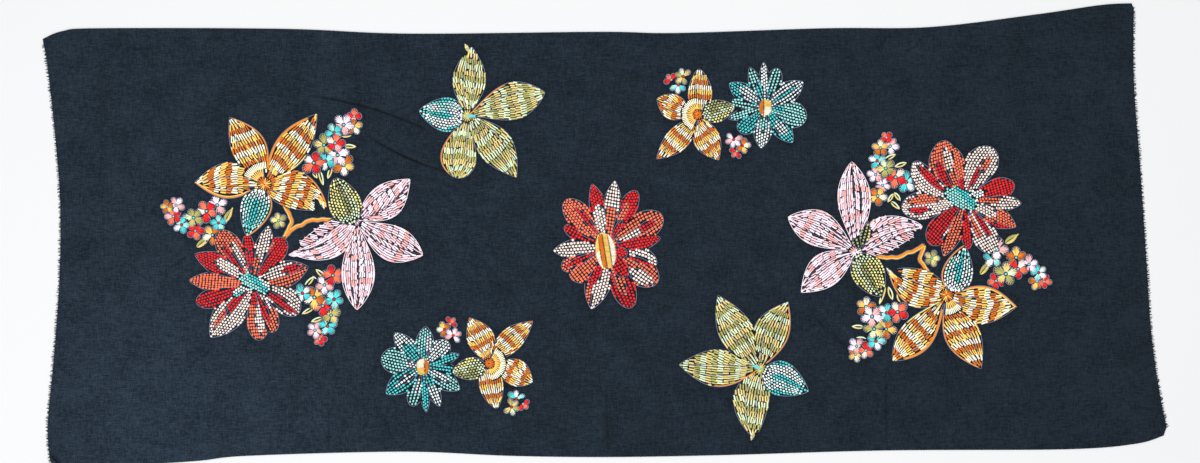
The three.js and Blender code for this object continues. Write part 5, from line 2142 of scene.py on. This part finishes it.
@dataclass
class ClothPanel:
    """The woven panel: a thin shell between four given edges, on the cloth's relief."""

    motifs: list[Motif]
    north: Points = (
        (-944, 330), (-912, 343), (-850, 348), (-540, 347), (-330, 339), (-10, 342),
        (120, 340), (370, 348), (545, 350), (722, 371), (832, 387), (884, 390),
    )  # fmt: skip
    east: Points = (
        (888, 382), (888, 260), (899, 110), (909, -41), (918, -170), (932, -268), (943, -322),
    )  # fmt: skip
    south: Points = (
        (938, -336), (890, -350), (773, -359), (470, -361), (190, -369), (0, -372),
        (-160, -370), (-340, -363), (-600, -370), (-690, -379), (-850, -389), (-912, -390),
    )  # fmt: skip
    west: Points = (
        (-930, -381), (-936, -320), (-925, -200), (-916, -68),
        (-915, 58), (-925, 184), (-937, 290), (-943, 322),
    )  # fmt: skip
    columns: int = 344
    rows: int = 132
    hem: float = 0.25

    def edge(self, name: str) -> Array:
        """One edge as a fine line, from its table's first point to its last."""
        return spline(getattr(self, name), 24)

    def painted_light(self, points: Array) -> Array:
        """How light the wool is painted.

        Painted light falls off from west to east and is brightest about the southwest corner, and painted
        shade darkens the wool close round the stitches: by 0.3 exp(-gap / 5 mm).
        """
        corner = np.linalg.norm(points - (-720, -330), axis=1)
        light_fall = 1.0 - 0.15 * points[:, 0] / 900 + 0.44 * np.exp(-((corner / 300) ** 2))
        gap = -np.minimum(deepest(points, self.motifs), 0)
        return light_fall * (1 - 0.3 * np.exp(-gap / 5))

    def spread(self, count: int, length: float) -> Array:
        """Shares of a length: even steps, with three narrow ones along each end for the hem."""
        narrow = np.array([0, 1.1, 2.4, 4.6]) / length
        inner = np.linspace(9 / length, 1 - 9 / length, count - 7)
        return np.concatenate([narrow, inner, 1 - narrow[::-1]])

    def plan(self) -> Array:
        """The panel's grid as a Coons patch.

        A point is the blend of the two long edges, plus the blend of the two short ones, less the
        blend of the four corners.

        Returns:
            (columns + 1, rows + 1, 2) points, west to east and south to north.
        """
        top, bottom = self.edge("north"), self.edge("south")[::-1]
        right = np.concatenate([top[-1:], self.edge("east"), bottom[-1:]])[::-1]
        left = np.concatenate([bottom[:1], self.edge("west"), top[:1]])
        u, v = self.spread(self.columns + 1, 1850), self.spread(self.rows + 1, 730)
        low, high = resampled(bottom, u)[:, None], resampled(top, u)[:, None]
        near, far = resampled(left, v)[None], resampled(right, v)[None]
        a, b = u[:, None, None], v[None, :, None]
        corners = (1 - a) * (1 - b) * low[0, 0] + a * (1 - b) * low[-1, 0]
        corners = corners + (1 - a) * b * high[0, 0] + a * b * high[-1, 0]
        return (1 - b) * low + b * high + (1 - a) * near + a * far - corners

    def build(self) -> Piece:
        """Makes the shell: the grid at two heights, walled round its rim."""
        plan = self.plan()
        across, up = plan.shape[:2]
        flat = plan.reshape(-1, 2)
        hem = np.zeros((across, up))
        hem[:, [1, -2]] = self.hem
        rise = hem.reshape(-1, 1)
        at = np.arange(across * up).reshape(across, up)
        face = np.stack([at[:-1, :-1], at[1:, :-1], at[1:, 1:], at[:-1, 1:]], -1).reshape(-1, 4)
        count = len(flat)
        rim = np.concatenate([at[:-1, 0], at[-1, :-1], at[:0:-1, -1], at[0, :0:-1]])
        ahead = np.roll(rim, -1)
        wall = np.stack([rim + count, ahead + count, ahead, rim], -1)
        vertices = np.concatenate([np.hstack([flat, rise]), np.hstack([flat, rise * 0 + UNDERSIDE - FACE])])
        # The painted light and painted shade of the wool, carried in the colour attribute.
        painted_light = np.tile(self.painted_light(vertices[:, :2])[:, None], (1, 3))
        parts = MeshParts()
        parts.add(vertices, painted_light, vertices[:, :2] * 0.001, [face[:, ::-1] + count, wall], [face])
        return parts.made("woven_panel")


@dataclass
class Fringe:
    """The cut yarn ends along one short edge."""

    side: str
    line: Array
    pitch: float = 1.9
    reach: float = 4.2
    seed: int = 5

    def build(self) -> Piece:
        """Makes the yarn ends: thin tapered tubes, in uneven tufts that lean one way or the other."""
        rng = np.random.default_rng(self.seed)
        line = stepped(self.line, self.pitch)
        count = len(line)
        out = left_of(normalised(np.gradient(line, axis=0)))
        tuft = np.sin(np.arange(count) * 1.9 + np.sin(np.arange(count) * 0.37) * 4)
        lean = 24 * tuft + rng.normal(0, 12, count)
        c, s = unit(lean).T
        aim = np.stack([out[:, 0] * c - out[:, 1] * s, out[:, 0] * s + out[:, 1] * c], -1)
        reach = self.reach * rng.uniform(0.55, 1.15, count) * (1 + 0.2 * tuft)
        start = line - out * 1.6 + rng.normal(0, 0.3, (count, 2))
        along = np.array([0, 0.35, 0.75, 1.0])
        size = np.array([0.62, 0.6, 0.45, 0.2])
        drop = np.array([0.0, -0.1, -0.42, -0.62])
        curl = rng.normal(0, 0.5, count)[:, None] * along**2
        centre = start[:, None] + aim[:, None] * ((reach + 1.6)[:, None] * along)[..., None]
        centre = centre + left_of(aim)[:, None] * curl[..., None]
        round_it = np.arange(5) * 2 * np.pi / 5
        side = left_of(aim)[:, None, None] * (size[:, None] * np.cos(round_it))[None, ..., None]
        plan = centre[:, :, None] + side
        height = -0.35 + drop[:, None] * 0.6 + size[:, None] * 0.6 * np.sin(round_it)
        height = np.broadcast_to(height[None, ..., None], (*plan.shape[:3], 1))
        vertices = np.concatenate([plan, height], -1).reshape(-1, 3)
        foot, sides, ends = tube_faces(4, 5)
        blocks = [repeated(faces, count, 20) for faces in (foot, ends, sides)]
        strand = np.stack(np.meshgrid(along, np.arange(5) / 4, indexing="ij"), -1)
        strand = np.tile(strand.reshape(-1, 2), (count, 1))
        parts = MeshParts()
        # Painted shade: the yarn ends' wool is painted at half its light.
        parts.add(vertices, np.full((len(vertices), 3), 0.5), strand, blocks[:1], blocks[1:])
        return parts.made(f"yarn_ends_{self.side}")


@dataclass
class Embroidery:
    """The stitched motifs of one group, each a piece of its own."""

    motifs: list[Motif]

    def build(self) -> list[tuple[Piece, Motif]]:
        """Makes the motifs' pieces, in the order they are worked."""
        pieces = []
        for number, motif in enumerate(self.motifs):
            work = motif.sewn(self.motifs[:number])
            parts = MeshParts()
            for block in work.stitches:
                block.sewn(parts)
            for sewn in (*work.cords, *work.knots):
                sewn.sewn(parts)
            pieces.append((parts.made(f"stitched_{motif.name}"), motif))
        return pieces


@dataclass
class Studio:
    """The pale floor, the soft lights and the camera above."""

    floor: float = 6.0
    frame_width: float = 2.016
    camera_height: float = 2.6
    aim: tuple[float, float] = (-0.0084, 0.0067)
    sensor: float = 36.0

    def lay_floor(self):
        """Makes the floor, a level sheet just below the shawl."""
        size = self.floor / 2
        corners = ((-size, -size), (size, -size), (size, size), (-size, size))
        mesh = bpy.data.meshes.new("pale_floor")
        mesh.from_pydata([(*corner, -0.0004) for corner in corners], [], [(0, 1, 2, 3)])
        piece = bpy.data.objects.new("pale_floor", mesh)
        bpy.context.scene.collection.objects.link(piece)
        shader = Shader("floor_finish", {"Base Color": (0.77, 0.77, 0.77, 1), "Roughness": 0.75})
        mesh.materials.append(shader.material)

    def light(self, name: str, place: tuple[float, float, float], size: float, power: float):
        """Adds a square soft light that faces the shawl's middle."""
        lamp = bpy.data.lights.new(name, "AREA")
        lamp.size = size
        lamp.energy = power
        piece = bpy.data.objects.new(name, lamp)
        piece.location = place
        x, y, z = place
        piece.rotation_euler = (math.atan2(math.hypot(x, y), z), 0, math.atan2(x, -y) if (x or y) else 0)
        bpy.context.scene.collection.objects.link(piece)

    def set_up(self):
        """Makes the floor, the lights, the sky and the camera."""
        self.lay_floor()
        self.light("overhead_light", (0.1, 0.0, 3.6), 4.4, 128)
        self.light("window_light", (-2.8, -2.0, 1.9), 1.2, 26)
        scene = bpy.context.scene
        world = bpy.data.worlds.new("room")
        world.use_nodes = True
        world.node_tree.nodes["Background"].inputs["Color"].default_value = (0.96, 0.98, 1.0, 1)
        world.node_tree.nodes["Background"].inputs["Strength"].default_value = 0.5
        scene.world = world
        scene.view_settings.view_transform = "Standard"
        lens = bpy.data.cameras.new("camera")
        lens.sensor_width = self.sensor
        lens.lens = self.sensor * self.camera_height / self.frame_width
        camera = bpy.data.objects.new("camera", lens)
        camera.location = (*self.aim, self.camera_height)
        scene.collection.objects.link(camera)
        scene.camera = camera


def dressed(piece: Piece, material: bpy.types.Material, node: str) -> Piece:
    """Gives a piece its material and the solid that it stands for."""
    piece.data.materials.append(material)
    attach(piece, BODY)
    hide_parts(node)
    LOG.info("%s: %d faces, stands for %s", piece.name, len(piece.data.polygons), node)
    return piece


def main():
    """Builds the shawl around its frame, then the studio."""
    logging.basicConfig(level=logging.INFO, format="%(name)s %(message)s")
    LOG.info("%d nodes in the frame", len(FRAME["nodes"]))
    wool = WoolFinish().material()
    groups = [planted(group, seed, rows) for (group, seed), rows in MOTIFS.items()]
    panel = ClothPanel(sum(groups, []))
    cloth = dressed(panel.build(), wool, "cloth_panel")
    ends = [
        dressed(Fringe(side, panel.edge(side), seed=seed).build(), wool, f"fringe_{side}")
        for side, seed in (("west", 5), ("east", 6))
    ]
    finishes: dict[str, bpy.types.Material] = {}
    for motifs in groups:
        for piece, motif in Embroidery(motifs).build():
            if motif.slot not in finishes:
                finishes[motif.slot] = ThreadFinish(motif.slot).material()
            dressed(piece, finishes[motif.slot], motif.name)
    Studio().set_up()
    faces = sum(len(piece.data.polygons) for piece in bpy.data.objects if piece.type == "MESH")
    LOG.info("%d faces in all", faces)


if __name__ == "__main__":
    main()
